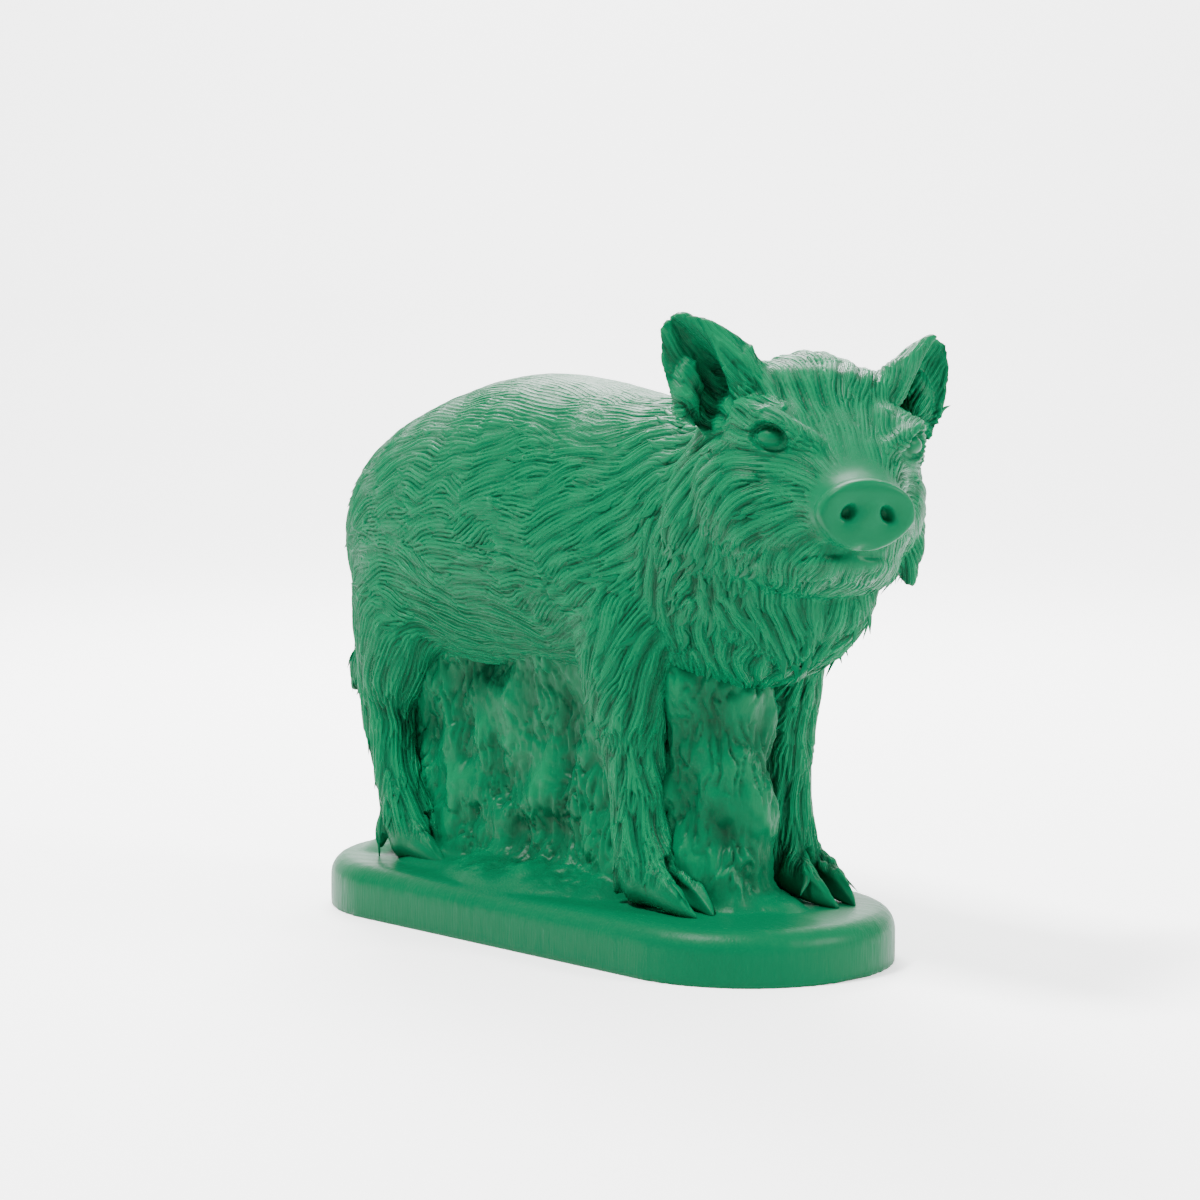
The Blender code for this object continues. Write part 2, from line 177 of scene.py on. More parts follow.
# Skull and cheek ruff from the crown down: forward, up, half width, half depth
skull = (
    (-20, 51, 17, 15),
    (-19, 46, 32, 30),
    (-18, 38, 50, 47),
    (-16, 22, 62, 59),
    (-18, -2, 73, 66),
    (-26, -32, 87, 68),
    (-32, -62, 96, 64),
    (-38, -88, 95, 56),
    (-44, -106, 76, 42),
)
# Face wedge from brow to snout: forward, up, half width, half height
face = (
    (10, -18, 60, 52),
    (40, -27, 58, 45),
    (70, -39, 48, 37),
    (97, -48, 38, 29),
    (120, -52, 31, 24),
)
jaw = (
    (-10, -86, 72, 34),
    (38, -90, 58, 27),
    (74, -88, 41, 19),
    (100, -83, 26, 12),
)
snoutSide = -6
snout = (
    (110, -51, 29, 22),
    (121, -52, 33, 24),
    (131, -52, 35.5, 25.5),
    (138, -52, 34, 24),
)
# Lumps of ground on the plinth: x, y, z, half length, half width, half height
lumps = (
    (-22, -50, -8, 104, 54, 27),
    (60, -46, -8, 30, 40, 22),
    (134, 6, -6, 80, 34, 22),
    (96, -4, 0, 34, 40, 30),
    (-126, -46, -8, 60, 38, 20),
    (-206, 4, -8, 48, 74, 22),
    (-60, 52, -8, 130, 50, 25),
    (104, 60, -10, 60, 36, 18),
)
# Ears, near then far: base and tip as lateral, up
ears = {-1: ((-66, 22), (-109, 72)), 1: ((74, 20), (98, 71))}


def ring(centre, across, along, halfAcross, halfAlong):
    points = []
    for i in range(sides):
        angle = 2 * math.pi * i / sides
        points.append(centre + across * (halfAcross * math.cos(angle))
                      + along * (halfAlong * math.sin(angle)))
    return points


def skin(mesh, rings):
    loops = [[mesh.verts.new(p) for p in points] for points in rings]
    for first, second in zip(loops, loops[1:]):
        count = len(first)
        for i in range(count):
            j = (i + 1) % count
            mesh.faces.new((first[i], first[j], second[j], second[i]))
    mesh.faces.new(loops[0][::-1])
    mesh.faces.new(loops[-1])


def smoothed(stations):
    rows = [list(s[0]) + [s[1], s[2]] for s in stations]
    last = len(rows) - 1
    result = []
    for i in range(last):
        a, b, c, d = rows[max(i - 1, 0)], rows[i], rows[i + 1], rows[min(i + 2, last)]
        for k in range(between):
            t = k / between
            row = [0.5 * (2 * q + (r - p) * t + (2 * p - 5 * q + 4 * r - w) * t * t
                          + (3 * q - p - 3 * r + w) * t ** 3) for p, q, r, w in zip(a, b, c, d)]
            result.append((Vector(row[:3]), row[3], row[4]))
    result.append((Vector(rows[last][:3]), rows[last][3], rows[last][4]))
    return result


def dome(centre, out, across, along, acrossSize, alongSize, cap):
    # Shrinking rings that close the end of a limb.
    depth = min(acrossSize, alongSize) * cap
    rings = []
    for k in range(1, capRings + 1):
        angle = math.pi / 2 * k / (capRings + 0.4)
        shrink = math.cos(angle)
        rings.append(ring(centre + out * depth * math.sin(angle), across, along,
                          acrossSize * shrink, alongSize * shrink))
    return rings


def limb(mesh, stations, side=Vector((0, 1, 0)), cap=0.8):
    stations = smoothed(stations)
    centres = [station[0] for station in stations]
    rings = []
    last = len(stations) - 1
    for i, (centre, acrossSize, alongSize) in enumerate(stations):
        tangent = (centres[min(i + 1, last)] - centres[max(i - 1, 0)]).normalized()
        across = (side - tangent * side.dot(tangent)).normalized()
        along = tangent.cross(across)
        if i == 0 and cap:
            rings += dome(centre, -tangent, across, along, acrossSize, alongSize, cap)[::-1]
        rings.append(ring(centre, across, along, acrossSize, alongSize))
        if i == last and cap:
            rings += dome(centre, tangent, across, along, acrossSize, alongSize, cap)
    skin(mesh, rings)


def ball(mesh, centre, sizes, turn=Matrix.Identity(3)):
    found = bmesh.ops.create_uvsphere(mesh, u_segments=sides, v_segments=16, radius=1.0)
    for vertex in found["verts"]:
        local = Vector([c * s for c, s in zip(vertex.co, sizes)])
        vertex.co = Vector(centre) + turn @ local


def headTurn(pitch=0.0):
    return (Matrix.Rotation(headYaw, 3, "Z") @ Matrix.Rotation(headRoll, 3, "X")
            @ Matrix.Rotation(pitch, 3, "Y"))


def headPoint(forward, left, up):
    return Vector(headOrigin) + headTurn() @ Vector((forward, left, up))


def head(mesh):
    leftAxis = headTurn() @ Vector((0, 1, 0))
    limb(mesh, [(headPoint(f, 0, u), w, d) for f, u, w, d in skull], leftAxis, cap=0.25)
    limb(mesh, [(headPoint(f, -6 * (f / 120) ** 2, u), w, h) for f, u, w, h in face], leftAxis)
    limb(mesh, [(headPoint(f, 0, u), w, h) for f, u, w, h in jaw], leftAxis)
    limb(mesh, [(headPoint(f, snoutSide, u), w, h) for f, u, w, h in snout], leftAxis, cap=0)
    ball(mesh, headPoint(6, 0, 13), (42, 52, 30), headTurn())
    limb(mesh, [(headPoint(8, 69, -58), 15, 16), (headPoint(12, 71, -82), 15, 15),
                (headPoint(15, 75, -106), 5, 6)], leftAxis)
    for side in (-1, 1):
        ball(mesh, headPoint(22, side * 35, -8), (46, 39, 32), headTurn())
        ball(mesh, headPoint(4, side * (39 - 3 * side), -48), (62, 46, 50), headTurn(0.2))
        limb(mesh, [(headPoint(26, side * 38, -56), 36, 36), (headPoint(60, side * 25, -62), 29, 29),
                    (headPoint(88, side * 13, -63), 22, 20)], leftAxis)
        thick = 8.6 - side
        limb(mesh, [(headPoint(26, side * (61 - 4 * side), 11), thick - 2, thick - 1.5),
                    (headPoint(55, side * 56, 7), thick, thick),
                    (headPoint(73, side * 37, -3), thick, thick - 1),
                    (headPoint(82, side * 23, -11), thick - 2, thick - 3)], leftAxis)
        # hair that climbs the inner edge of the ear, and the fold at its outer foot
        limb(mesh, [(headPoint(0, side * 50, 30), 16, 16), (headPoint(-1, side * 66, 48), 10, 10),
                    (headPoint(-6, side * 80, 62), 4, 5)], leftAxis)
        ball(mesh, headPoint(-19, side * (88 - 4 * side), 22), (11, 11, 24), headTurn())


def cupShare(v):
    # Depth of the ear's hollow across it: a long slope from the outer edge, a fold at the inner one.
    if v < 0.15:
        return 1 - ((0.15 - v) / 1.15) ** 1.5
    across = (v - 0.15) / 0.85
    return 1 - 1.35 * min(across / 0.4, 1) + 0.35 * max(across - 0.4, 0) / 0.6


def ear(mesh, side):
    stepsUp, stepsAcross = 12, 14
    turn = headTurn()
    (baseY, baseZ), (tipY, tipZ) = ears[side]
    base = headPoint(-4, baseY, baseZ)
    tip = headPoint(-14, tipY, tipZ)
    axis = (tip - base).normalized()
    across = turn @ Vector((0.30, -side * 0.8, 0.5))
    across = (across - axis * across.dot(axis)).normalized()
    facing = axis.cross(across) * side
    sink = 18
    length, halfWidth, thickness = (tip - base).length + sink, (31 if side > 0 else 34), 9
    front, back = [], []
    for i in range(stepsUp + 1):
        u = i / stepsUp
        width = halfWidth * max(math.sin(math.pi * (0.30 + 0.66 * u)) ** 0.7, 0.03)
        rowFront, rowBack = [], []
        for j in range(stepsAcross + 1):
            v = 2 * j / stepsAcross - 1
            cup = 30 * (1 - v * v) * (1 - 0.8 * u)
            hollow = cupShare(v) * 30 * (1 - 0.8 * u)
            centre = base + axis * (length * u - sink) + across * (width * v)
            edge = thickness * (0.6 + 0.4 * (1 - v * v)) * (1.0 - 0.25 * u)
            rowFront.append(centre - facing * min(cup, hollow))
            rowBack.append(centre - facing * (cup + edge))
        front.append(rowFront)
        back.append(rowBack)
    gridF = [[mesh.verts.new(p) for p in row] for row in front]
    gridB = [[mesh.verts.new(p) for p in row] for row in back]
    for i in range(stepsUp):
        for j in range(stepsAcross):
            mesh.faces.new((gridF[i][j], gridF[i][j + 1], gridF[i + 1][j + 1], gridF[i + 1][j]))
            mesh.faces.new((gridB[i][j], gridB[i + 1][j], gridB[i + 1][j + 1], gridB[i][j + 1]))
    border = ([(0, j) for j in range(stepsAcross)] + [(i, stepsAcross) for i in range(stepsUp)]
              + [(stepsUp, j) for j in range(stepsAcross, 0, -1)] + [(i, 0) for i in range(stepsUp, 0, -1)])
    for (a, b), (c, d) in zip(border, border[1:] + border[:1]):
        mesh.faces.new((gridF[c][d], gridF[a][b], gridB[a][b], gridB[c][d]))


def hoof(mesh, x, y, turned):
    turn = Matrix.Rotation(math.radians(turned), 3, "Z")
    place = Vector((x, y, 0))
    for side in (-1, 1):
        limb(mesh, ((place + turn @ Vector((-18, side * 7, 30)), 11, 17),
                    (place + turn @ Vector((-2, side * 11, 20)), 10.5, 17),
                    (place + turn @ Vector((18, side * 12, 12)), 9.4, 13),
                    (place + turn @ Vector((36, side * 10.5, 5)), 7, 8),
                    (place + turn @ Vector((47, side * 8, 0)), 3.5, 4)))
        limb(mesh, ((place + turn @ Vector((-26, side * 13, 38)), 7, 8),
                    (place + turn @ Vector((-33, side * 16, 22)), 6.5, 6.5),
                    (place + turn @ Vector((-36, side * 17, 8)), 4, 4)))


def rock(mesh):
    # The block that carries the belly: nearly straight walls, scooped by the tool, flared at the foot.
    half = ground["blockLength"] / unit / 2
    wide = ground["blockWidth"] / unit / 2
    middle = -22
    rings = []
    for level in range(-20, 221, 8):
        flare = math.exp(-max(level + 6, 0) / 16)
        waist = 1 - 0.10 * math.exp(-((level - 75) / 45) ** 2)
        row = []
        for i in range(120):
            angle = 2 * math.pi * i / 120
            c, q = math.cos(angle), math.sin(angle)
            x = middle + half * (1 + 0.09 * flare) * math.copysign(abs(c) ** 0.5, c)
            spread = 0.80 * flare * math.exp(-((x + 30) / 92) ** 2)
            y = wide * (waist + spread) * math.copysign(abs(q) ** 0.5, q)
            y *= 1 + 0.16 * ((x - middle) / half) ** 2
            if y > 0:
                y *= 1 - 0.34 * min(max((x - 105) / 50, 0), 1)
            near = noise.voronoi(Vector((x / 46, y / 46, level / 66)))[0][0]
            rough = 15 * (near - 0.42) + 6 * noise.noise(Vector((x / 22, y / 22, level / 26)))
            row.append(Vector((x + 0.7 * c * rough, y + q * rough, level)))
        rings.append(row)
    skin(mesh, rings)
    for x, y, z, longSize, wideSize, high in lumps:
        ball(mesh, Vector((x, y, z)), (longSize, wideSize, high))


def plinth(mesh):
    rows = []
    steps = 5
    count = 96
    profile = [(0.0, 0.0), (0.0, top - ground["rounding"])]
    for k in range(1, steps + 1):
        angle = math.pi / 2 * k / steps
        profile.append((ground["rounding"] * (1 - math.cos(angle)),
                        top - ground["rounding"] * (1 - math.sin(angle))))
    for inset, height in profile:
        radius = ground["width"] / 2 - inset
        straight = ground["length"] / 2 - ground["width"] / 2
        row = []
        for i in range(count):
            angle = 2 * math.pi * (i + 0.5) / count
            c, s = math.cos(angle), math.sin(angle)
            row.append(Vector((math.copysign(straight, c) + radius * c, radius * s, height)))
        rows.append(row)
    skin(mesh, rows)




def fused(name, fill, grain):
    # One closed skin round all the masses that fill() adds.
    mesh = bmesh.new()
    fill(mesh)
    bmesh.ops.recalc_face_normals(mesh, faces=mesh.faces)
    data = bpy.data.meshes.new(name)
    mesh.to_mesh(data)
    mesh.free()
    carrier = bpy.data.objects.new(name, data)
    bpy.context.scene.collection.objects.link(carrier)
    remesh = carrier.modifiers.new("fuse", "REMESH")
    remesh.mode = "VOXEL"
    remesh.voxel_size = grain
    skin = bpy.data.meshes.new_from_object(carrier.evaluated_get(bpy.context.evaluated_depsgraph_get()))
    bpy.data.objects.remove(carrier)
    return outerSkin(skin)


def outerSkin(data):
    # pockets shut inside are dropped: each vertex takes the lowest number it is joined to
    edges = edgePairs(data)
    label = np.arange(len(data.vertices))
    while True:
        low = np.minimum(label[edges[:, 0]], label[edges[:, 1]])
        before = label.copy()
        np.minimum.at(label, edges[:, 0], low)
        np.minimum.at(label, edges[:, 1], low)
        label = label[label]
        if (label == before).all():
            break
    kept = label == np.bincount(label).argmax()
    if not kept.all():
        mesh = bmesh.new()
        mesh.from_mesh(data)
        mesh.verts.ensure_lookup_table()
        bmesh.ops.delete(mesh, geom=[mesh.verts[i] for i in np.nonzero(~kept)[0]], context="VERTS")
        mesh.to_mesh(data)
        mesh.free()
    return data


def positions(data):
    values = np.empty(len(data.vertices) * 3)
    data.vertices.foreach_get("co", values)
    return values.reshape(-1, 3)


def normalsOf(data):
    values = np.empty(len(data.vertices) * 3)
    data.vertices.foreach_get("normal", values)
    return values.reshape(-1, 3)


def place(data, points):
    data.vertices.foreach_set("co", points.ravel())
    data.update()


def edgePairs(data):
    values = np.empty(len(data.edges) * 2, dtype=np.int64)
    data.edges.foreach_get("vertices", values)
    return values.reshape(-1, 2)


def soften(data, share, rounds):
    points = positions(data)
    edges = edgePairs(data)
    first, second = edges[:, 0], edges[:, 1]
    size = len(points)
    count = np.bincount(edges.ravel(), minlength=size)[:, None]
    for _ in range(rounds):
        total = np.empty_like(points)
        for axis in range(3):
            total[:, axis] = (np.bincount(first, points[second, axis], size)
                              + np.bincount(second, points[first, axis], size))
        points += (total / count - points) * share[:, None]
    place(data, points)


def world(point):
    return np.array(point) * unit + (0, 0, top)


def headLocal(points):
    # Points in the head's own frame, in figure units: forward, left, up.
    return (points - world(headOrigin)) @ np.array(headTurn()) / unit


def bump(distance, reach):
    return np.exp(-(distance / reach) ** 2)


def rising(value, start, width):
    return np.clip((value - start) / width, 0, 1)


def falling(value, end, width):
    return np.clip((end - value) / width, 0, 1)


def inFigure(points):
    # Points in figure units, counted from the plinth's top.
    return (points - (0, 0, top)) / unit


def coatShare(points):
    # 1 where the coat grows, 0 on the snout, the eyes and the toes; the second value is for softening.
    local = headLocal(points)
    figure = inFigure(points)
    coat = np.ones(len(points))
    soft = np.ones(len(points))
    forward, left, up = local.T
    near = rising(forward, 96, 16) * (np.hypot(left, up + 52) < 60)
    coat *= 1 - near
    soft *= 1 - 0.80 * rising(forward, 104, 8) * (np.hypot(left, up + 52) < 60)
    bridge = bump(left, 22) * rising(forward, 60, 40) * rising(up, -60, 20)
    coat *= 1 - 0.85 * bridge
    coat *= 1 - 0.15 * bump(left, 55) * np.clip(forward / 30, 0, 1) * rising(up, -40, 30)
    for side in (-1, 1):
        away = np.linalg.norm(local - (61, side * 53, -6), axis=1)
        coat *= 1 - np.clip(1.25 * bump(away, 14), 0, 1)
        soft *= 1 - 0.97 * falling(away, 19, 5)
        baseY, baseZ = ears[side][0]
        tipY, tipZ = ears[side][1]
        base, tip = np.array((-4, baseY, baseZ)), np.array((-14, tipY, tipZ))
        run = np.clip(((local - base) @ (tip - base)) / ((tip - base) @ (tip - base)), -0.1, 1.2)
        away = np.linalg.norm(local - base - run[:, None] * (tip - base), axis=1)
        inside = falling(away, 44, 10)
        soft *= 1 - 0.66 * inside
        coat *= 1 - 0.45 * inside * (run > 0.25)
    for x, y, turned in hooves:
        away = np.hypot((figure[:, 0] - x - 8) / 1.25, figure[:, 1] - y)
        toe = falling(away, 40, 8)
        coat *= 1 - toe * falling(figure[:, 2], 26, 9)
        soft *= 1 - 0.85 * toe * falling(figure[:, 2], 52, 14)
    soft *= np.where((figure[:, 0] < -262) & (figure[:, 2] < 235), 0.25, 1)
    coat *= 1 - 0.50 * rising(figure[:, 2], 330, 50) * falling(figure[:, 0], 140, 90)
    return coat, soft


# How the hair lies: place, direction, reach and waviness, in figure units; rows off the middle count twice.
bodyCombs = (
    (-230, 40, 330, -1, 0, -.75, 50, .25), (-150, 50, 365, -1, 0, -.25, 60, .3),
    (-60, 50, 380, -1, 0, 0, 60, .3), (40, 50, 375, -1, 0, 0, 60, .3), (120, 50, 360, -1, .1, -.1, 50, .3),
    (-205, 85, 280, -1, 0, -.7, 45, .4), (-150, 95, 290, -1, 0, -.1, 50, .5),
    (-80, 95, 290, -1, 0, -.05, 55, .55), (0, 95, 290, -1, 0, -.2, 55, .5),
    (70, 90, 300, -1, 0, -.55, 50, .4), (130, 85, 310, -1, 0, -.7, 45, .25),
    (-250, 40, 235, -.3, 0, -1, 40, .3), (-215, 75, 225, -.6, 0, -.9, 35, .4),
    (-172, 88, 250, -1, 0, 0, 32, .3), (-138, 92, 215, -.6, 0, .75, 30, .3),
    (-110, 85, 180, -.8, 0, .8, 30, .25), (-60, 90, 215, -1, 0, .15, 45, .5),
    (-50, 75, 175, -1, 0, .3, 40, .3), (20, 88, 215, -1, 0, -.1, 45, .45), (20, 70, 170, -1, 0, 0, 40, .4),
    (80, 88, 235, -.8, 0, -.7, 38, .5), (75, 82, 195, -.6, 0, -.8, 34, .5),
    (120, 80, 250, -.6, .1, -.9, 38, .4), (160, 75, 260, -.5, .1, -1, 36, .4),
    (-185, 75, 190, -.5, 0, -1, 34, .3), (-150, 60, 175, -.1, 0, -1, 28, .3),
    (-195, 55, 130, -.1, 0, -1, 34, .3), (-185, 55, 75, .1, 0, -1, 34, .3),
    (-165, 55, 35, .3, 0, -1, 30, .2), (-200, 30, 170, 0, 0, -1, 34, .3),
    (104, 72, 165, -.3, 0, -1, 26, .3), (104, 62, 115, -.2, 0, -1, 26, .3),
    (106, 60, 65, .1, 0, -1, 30, .3), (66, 66, 185, -1, 0, -.7, 22, .3), (66, 60, 150, -1, 0, -.8, 20, .3),
    (80, 60, 112, -.8, 0, -1, 18, .3), (145, 60, 170, -.1, 0, -1, 34, .3),
    (142, 60, 110, -.1, 0, -1, 34, .3), (150, 60, 55, .2, 0, -1, 34, .3), (240, 0, 245, -.3, 0, -1, 30, .4),
    (225, 40, 225, -.35, -.5, -1, 28, .45), (190, 50, 200, -.4, -.8, -.8, 28, .5),
    (190, 0, 180, -.6, 0, -.8, 30, .4), (150, 30, 165, -.7, -.3, -.5, 30, .4),
    (130, 0, 165, -1, 0, 0, 34, .3), (-290, 3, 180, 0, 0, -1, 22, .2), (-265, 2, 255, -.3, 0, -1, 20, .2),
)
# The same for the head, in its own frame
headCombs = (
    (110, 20, -35, -1, .1, .25, 26, .1), (75, 14, -10, -1, .1, .35, 26, .15),
    (48, 12, 12, -.7, .15, .8, 24, .2), (30, 30, 30, -.6, .4, .7, 24, .25),
    (0, 20, 52, -1, .2, .2, 28, .25), (-40, 35, 45, -1, .1, -.1, 36, .25),
    (52, 55, 12, -.6, .7, .35, 16, .15), (62, 58, -16, -.8, .5, -.15, 14, .2),
    (30, 66, -8, -1, .5, 0, 22, .25), (90, 32, -48, -1, .35, -.1, 24, .15),
    (58, 50, -46, -.9, .45, -.35, 26, .3), (25, 68, -48, -.8, .35, -.6, 28, .35),
    (-15, 85, -35, -.8, .2, -.6, 30, .35), (-5, 82, -72, -.5, .1, -.9, 28, .35),
    (-40, 90, -80, -.4, .05, -1, 30, .35), (90, 24, -82, -.6, .2, -.7, 20, .2),
    (60, 40, -90, -.45, .15, -.9, 24, .3), (25, 58, -100, -.4, .1, -1, 26, .3),
    (70, 5, -98, -.7, 0, -.6, 22, .2), (-50, 70, 5, -1, .1, -.35, 34, .3),
    (-70, 85, -35, -1, 0, -.7, 34, .35),
)


def combTable():
    rows = []
    turn = np.array(headTurn())
    for x, y, z, dx, dy, dz, reach, wave in bodyCombs:
        for side in ((-1, 1) if y else (1,)):
            rows.append((*world((x, side * y, z)), dx, side * dy, dz, reach * unit, wave))
    for x, y, z, dx, dy, dz, reach, wave in headCombs:
        for side in (-1, 1):
            spot = world(headOrigin) + turn @ np.array((x, side * y, z)) * unit
            rows.append((*spot, *(turn @ np.array((dx, side * dy, dz))), reach * unit, wave))
    for side in (-1, 1):
        (baseY, baseZ), (tipY, tipZ) = ears[side]
        spotBase, spotTip = np.array((-4, baseY, baseZ)), np.array((-14, tipY, tipZ))
        for share in (0.15, 0.6, 1.0):
            spot = world(headOrigin) + turn @ (spotBase + (spotTip - spotBase) * share) * unit
            rows.append((*spot, *(turn @ (spotTip - spotBase)), 24 * unit, 0.1))
    return np.array(rows)


def smoothNoise(points, size, offset=0.0):
    scaled = points / size + offset
    return np.array([noise.noise(Vector(p)) for p in scaled.tolist()])


def flow(points, normals, combs):
    # The way the hair lies at each point, along the skin.
    direction = np.zeros_like(points)
    wave = np.zeros(len(points))
    total = np.zeros(len(points))
    for row in combs:
        away = ((points - row[:3]) ** 2).sum(axis=1) / row[6] ** 2
        weight = np.exp(-away) + 1e-4 / (1 + away) ** 2
        lay = row[3:6] / np.linalg.norm(row[3:6])
        direction += weight[:, None] * lay
        wave += weight * row[7]
        total += weight
    wave /= total
    direction -= (direction * normals).sum(axis=1)[:, None] * normals
    direction /= np.linalg.norm(direction, axis=1)[:, None] + 1e-9
    across = np.cross(normals, direction)
    column = (points[:, 0] + 0.35 * points[:, 2]) / 0.074 + 0.80 * smoothNoise(points, 0.06, 11.3)
    turn = 2 * math.pi * column
    sway = wave * (0.72 * np.sin(turn) + 0.2 * np.sin(2 * turn))
    sway += 1.1 * wave * smoothNoise(points, 0.030, 5.7)
    return direction * np.cos(sway)[:, None] + across * np.sin(sway)[:, None]


def scatter(points, spacing, rng):
    # A spread of points about that far apart: one from each cell of a grid.
    order = rng.permutation(len(points))
    cells = np.floor(points[order] / spacing).astype(np.int64)
    key = (cells[:, 0] * 4001 + cells[:, 1]) * 4001 + cells[:, 2]
    _, first = np.unique(key, return_index=True)
    chosen = order[first]
    # a second grid, shifted by half a cell, thins those that ended up side by side
    cells = np.floor(points[chosen] / spacing + 0.5).astype(np.int64)
    key = (cells[:, 0] * 4001 + cells[:, 1]) * 4001 + cells[:, 2]
    _, first = np.unique(key, return_index=True)
    return chosen[first]


def stripes(points, seeds, lay, cross, spacing, alongReach, crossReach, rng):
    # Phase of stripes that run along the hair, one stripe each spacing, joined up from patch to patch.
    cell = 2.1 * max(alongReach, crossReach)
    phase = rng.uniform(0, 2 * math.pi, len(seeds))
    reachable = neighbours(seeds, seeds, cell)
    for _ in range(14):
        phase = np.angle(summed(seeds, seeds, lay, cross, phase, spacing, alongReach, crossReach, reachable))
    reachable = None
    result = np.empty(len(points), dtype=np.complex128)
    step = 60000
    for start in range(0, len(points), step):
        part = points[start:start + step]
        result[start:start + step] = summed(part, seeds, lay, cross, phase, spacing, alongReach, crossReach,
                                            neighbours(part, seeds, cell))
    return np.angle(result)


def neighbours(points, seeds, cell):
    # For each point, the seeds in its cell and the 26 round it, as pairs of lists.
    low = seeds.min(axis=0) - cell
    size = np.ceil((seeds.max(axis=0) - low) / cell).astype(np.int64) + 2
    def keys(where):
        cells = np.clip(np.floor((where - low) / cell).astype(np.int64), 0, size - 1)
        return cells, (cells[:, 0] * size[1] + cells[:, 1]) * size[2] + cells[:, 2]
    seedKey = keys(seeds)[1]
    order = np.argsort(seedKey, kind="stable")
    count = np.bincount(seedKey, minlength=size.prod())
    begin = np.concatenate(([0], np.cumsum(count)))
    cells = keys(points)[0]
    whichPoint, whichSeed = [], []
    for dx in (-1, 0, 1):
        for dy in (-1, 0, 1):
            for dz in (-1, 0, 1):
                other = cells + (dx, dy, dz)
                good = ((other >= 0) & (other < size)).all(axis=1)
                key = np.where(good, (other[:, 0] * size[1] + other[:, 1]) * size[2] + other[:, 2], 0)
                found = np.where(good, count[key], 0)
                for slot in range(found.max() if len(found) else 0):
                    some = np.nonzero(found > slot)[0]
                    whichPoint.append(some)
                    whichSeed.append(order[begin[key[some]] + slot])
    return np.concatenate(whichPoint), np.concatenate(whichSeed)


def summed(points, seeds, lay, cross, phase, spacing, alongReach, crossReach, pairs):
    here, there = pairs
    offset = points[here] - seeds[there]
    along = (offset * lay[there]).sum(axis=1)
    side = (offset * cross[there]).sum(axis=1)
    depth2 = (offset ** 2).sum(axis=1) - along ** 2 - side ** 2
    weight = np.exp(-(along / alongReach) ** 2 - (side / crossReach) ** 2 - depth2 / crossReach ** 2)
    angle = 2 * math.pi / spacing * side + phase[there]
    return (np.bincount(here, weight * np.cos(angle), len(points))
            + 1j * np.bincount(here, weight * np.sin(angle), len(points)))


def carveCoat(data, settings, coat):
    # Bundles, shingled tips and fine strands, cut along the flow of the hair.
    rng = np.random.default_rng(settings["seed"])
    points, normals = positions(data), normalsOf(data)
    combs = combTable()
    lift = np.zeros(len(points))
    phases = {}
    for name, spacing, spread, alongReach, crossReach in (
            ("bundle", settings["bundleSpacing"], 0.013, 0.022, 0.011),
            ("strand", settings["strandSpacing"], 0.0062, 0.0095, 0.0048)):
        chosen = scatter(points, spread, rng)
        seeds, seedNormals = points[chosen], normals[chosen]
        lay = flow(seeds, seedNormals, combs)
        cross = np.cross(seedNormals, lay)
        phases[name] = stripes(points, seeds, lay, cross, spacing, alongReach, crossReach, rng)
        if name == "bundle":
            jitter = settings["stepSpacing"]
            phases["step"] = stripes(points, seeds, cross, lay, jitter, 0.012, 0.020, rng)
    figure = inFigure(points)
    shaggy = 0.75 + 0.9 * bump(figure[:, 0] - 190, 95) * rising(figure[:, 2], 120, 40)
    shaggy -= 0.30 * rising(figure[:, 2], 335, 45) * falling(figure[:, 0], 140, 90)
    shaggy += 0.65 * falling(figure[:, 2], 165, 40)
    ridge = 0.5 + 0.5 * np.cos(phases["bundle"])
    lift += settings["bundleDepth"] * shaggy * (ridge ** 0.6 - 0.55)
    ramp = (phases["step"] + 1.5 * np.cos(phases["bundle"])) / (2 * math.pi) % 1.0
    strength = np.clip(0.55 + 1.1 * smoothNoise(points, 0.045, 2.1), 0.1, 1) * shaggy
    lift += settings["stepDepth"] * strength * (np.minimum(ramp, (1 - ramp) * 9) - 0.45)
    fine = np.abs(np.cos(phases["strand"] / 2)) ** 0.7
    strength = np.clip(0.78 + 0.95 * smoothNoise(points, 0.016, 8.4), 0.2, 1.25)
    lift += settings["strandDepth"] * strength * (fine - 0.62)
    place(data, points + normals * (lift * coat)[:, None])
    turn = phases["strand"]
    return lift * coat, np.stack([np.cos(turn), np.sin(turn), coat], axis=1)


def tuftMap(points, normals, coat):
    # How thick the loose locks stand and how large they are, place by place.
    figure = inFigure(points)
    x, y, z = figure.T
    forward, left, up = headLocal(points).T
    onHead = (forward > -60) & (z > 235) & (up > -125)
    atEar = onHead & (up > 18)
    thick = np.full(len(points), 0.14)
    size = np.full(len(points), 0.80)
    thick += 0.30 * bump(x - 140, 80) * (z > 190)
    thick += 0.22 * bump(x - 210, 60) * bump(z - 190, 70)
    size += 0.25 * bump(x - 190, 70)
    haunch = bump(x + 215, 45) * (z > 150)
    thick += 0.25 * haunch
    legs = (z < 150) & (z > 30) & ~onHead
    thick = np.where(legs, 0.25 + 0.65 * np.clip(-normals[:, 0], 0, 1), thick)
    size = np.where(legs, 0.62, size)
    thick = np.where(x < -262, 0.9, thick)
    ruff = bump(forward + 10, 60) * bump(up + 96, 34)
    thick = np.where(onHead, 0.10 + 0.9 * ruff, thick)
    size = np.where(onHead, 0.45 + 0.45 * ruff, size)
    thick = np.where(atEar, 0.0, thick)
    thick = np.where(onHead & (left > 55) & (forward > -5) & (up < -70), 0.0, thick)
    thick *= 1 - 0.8 * rising(z, 345, 30) * (x < 120)
    return np.clip(thick, 0, 1) * (coat > 0.7), size


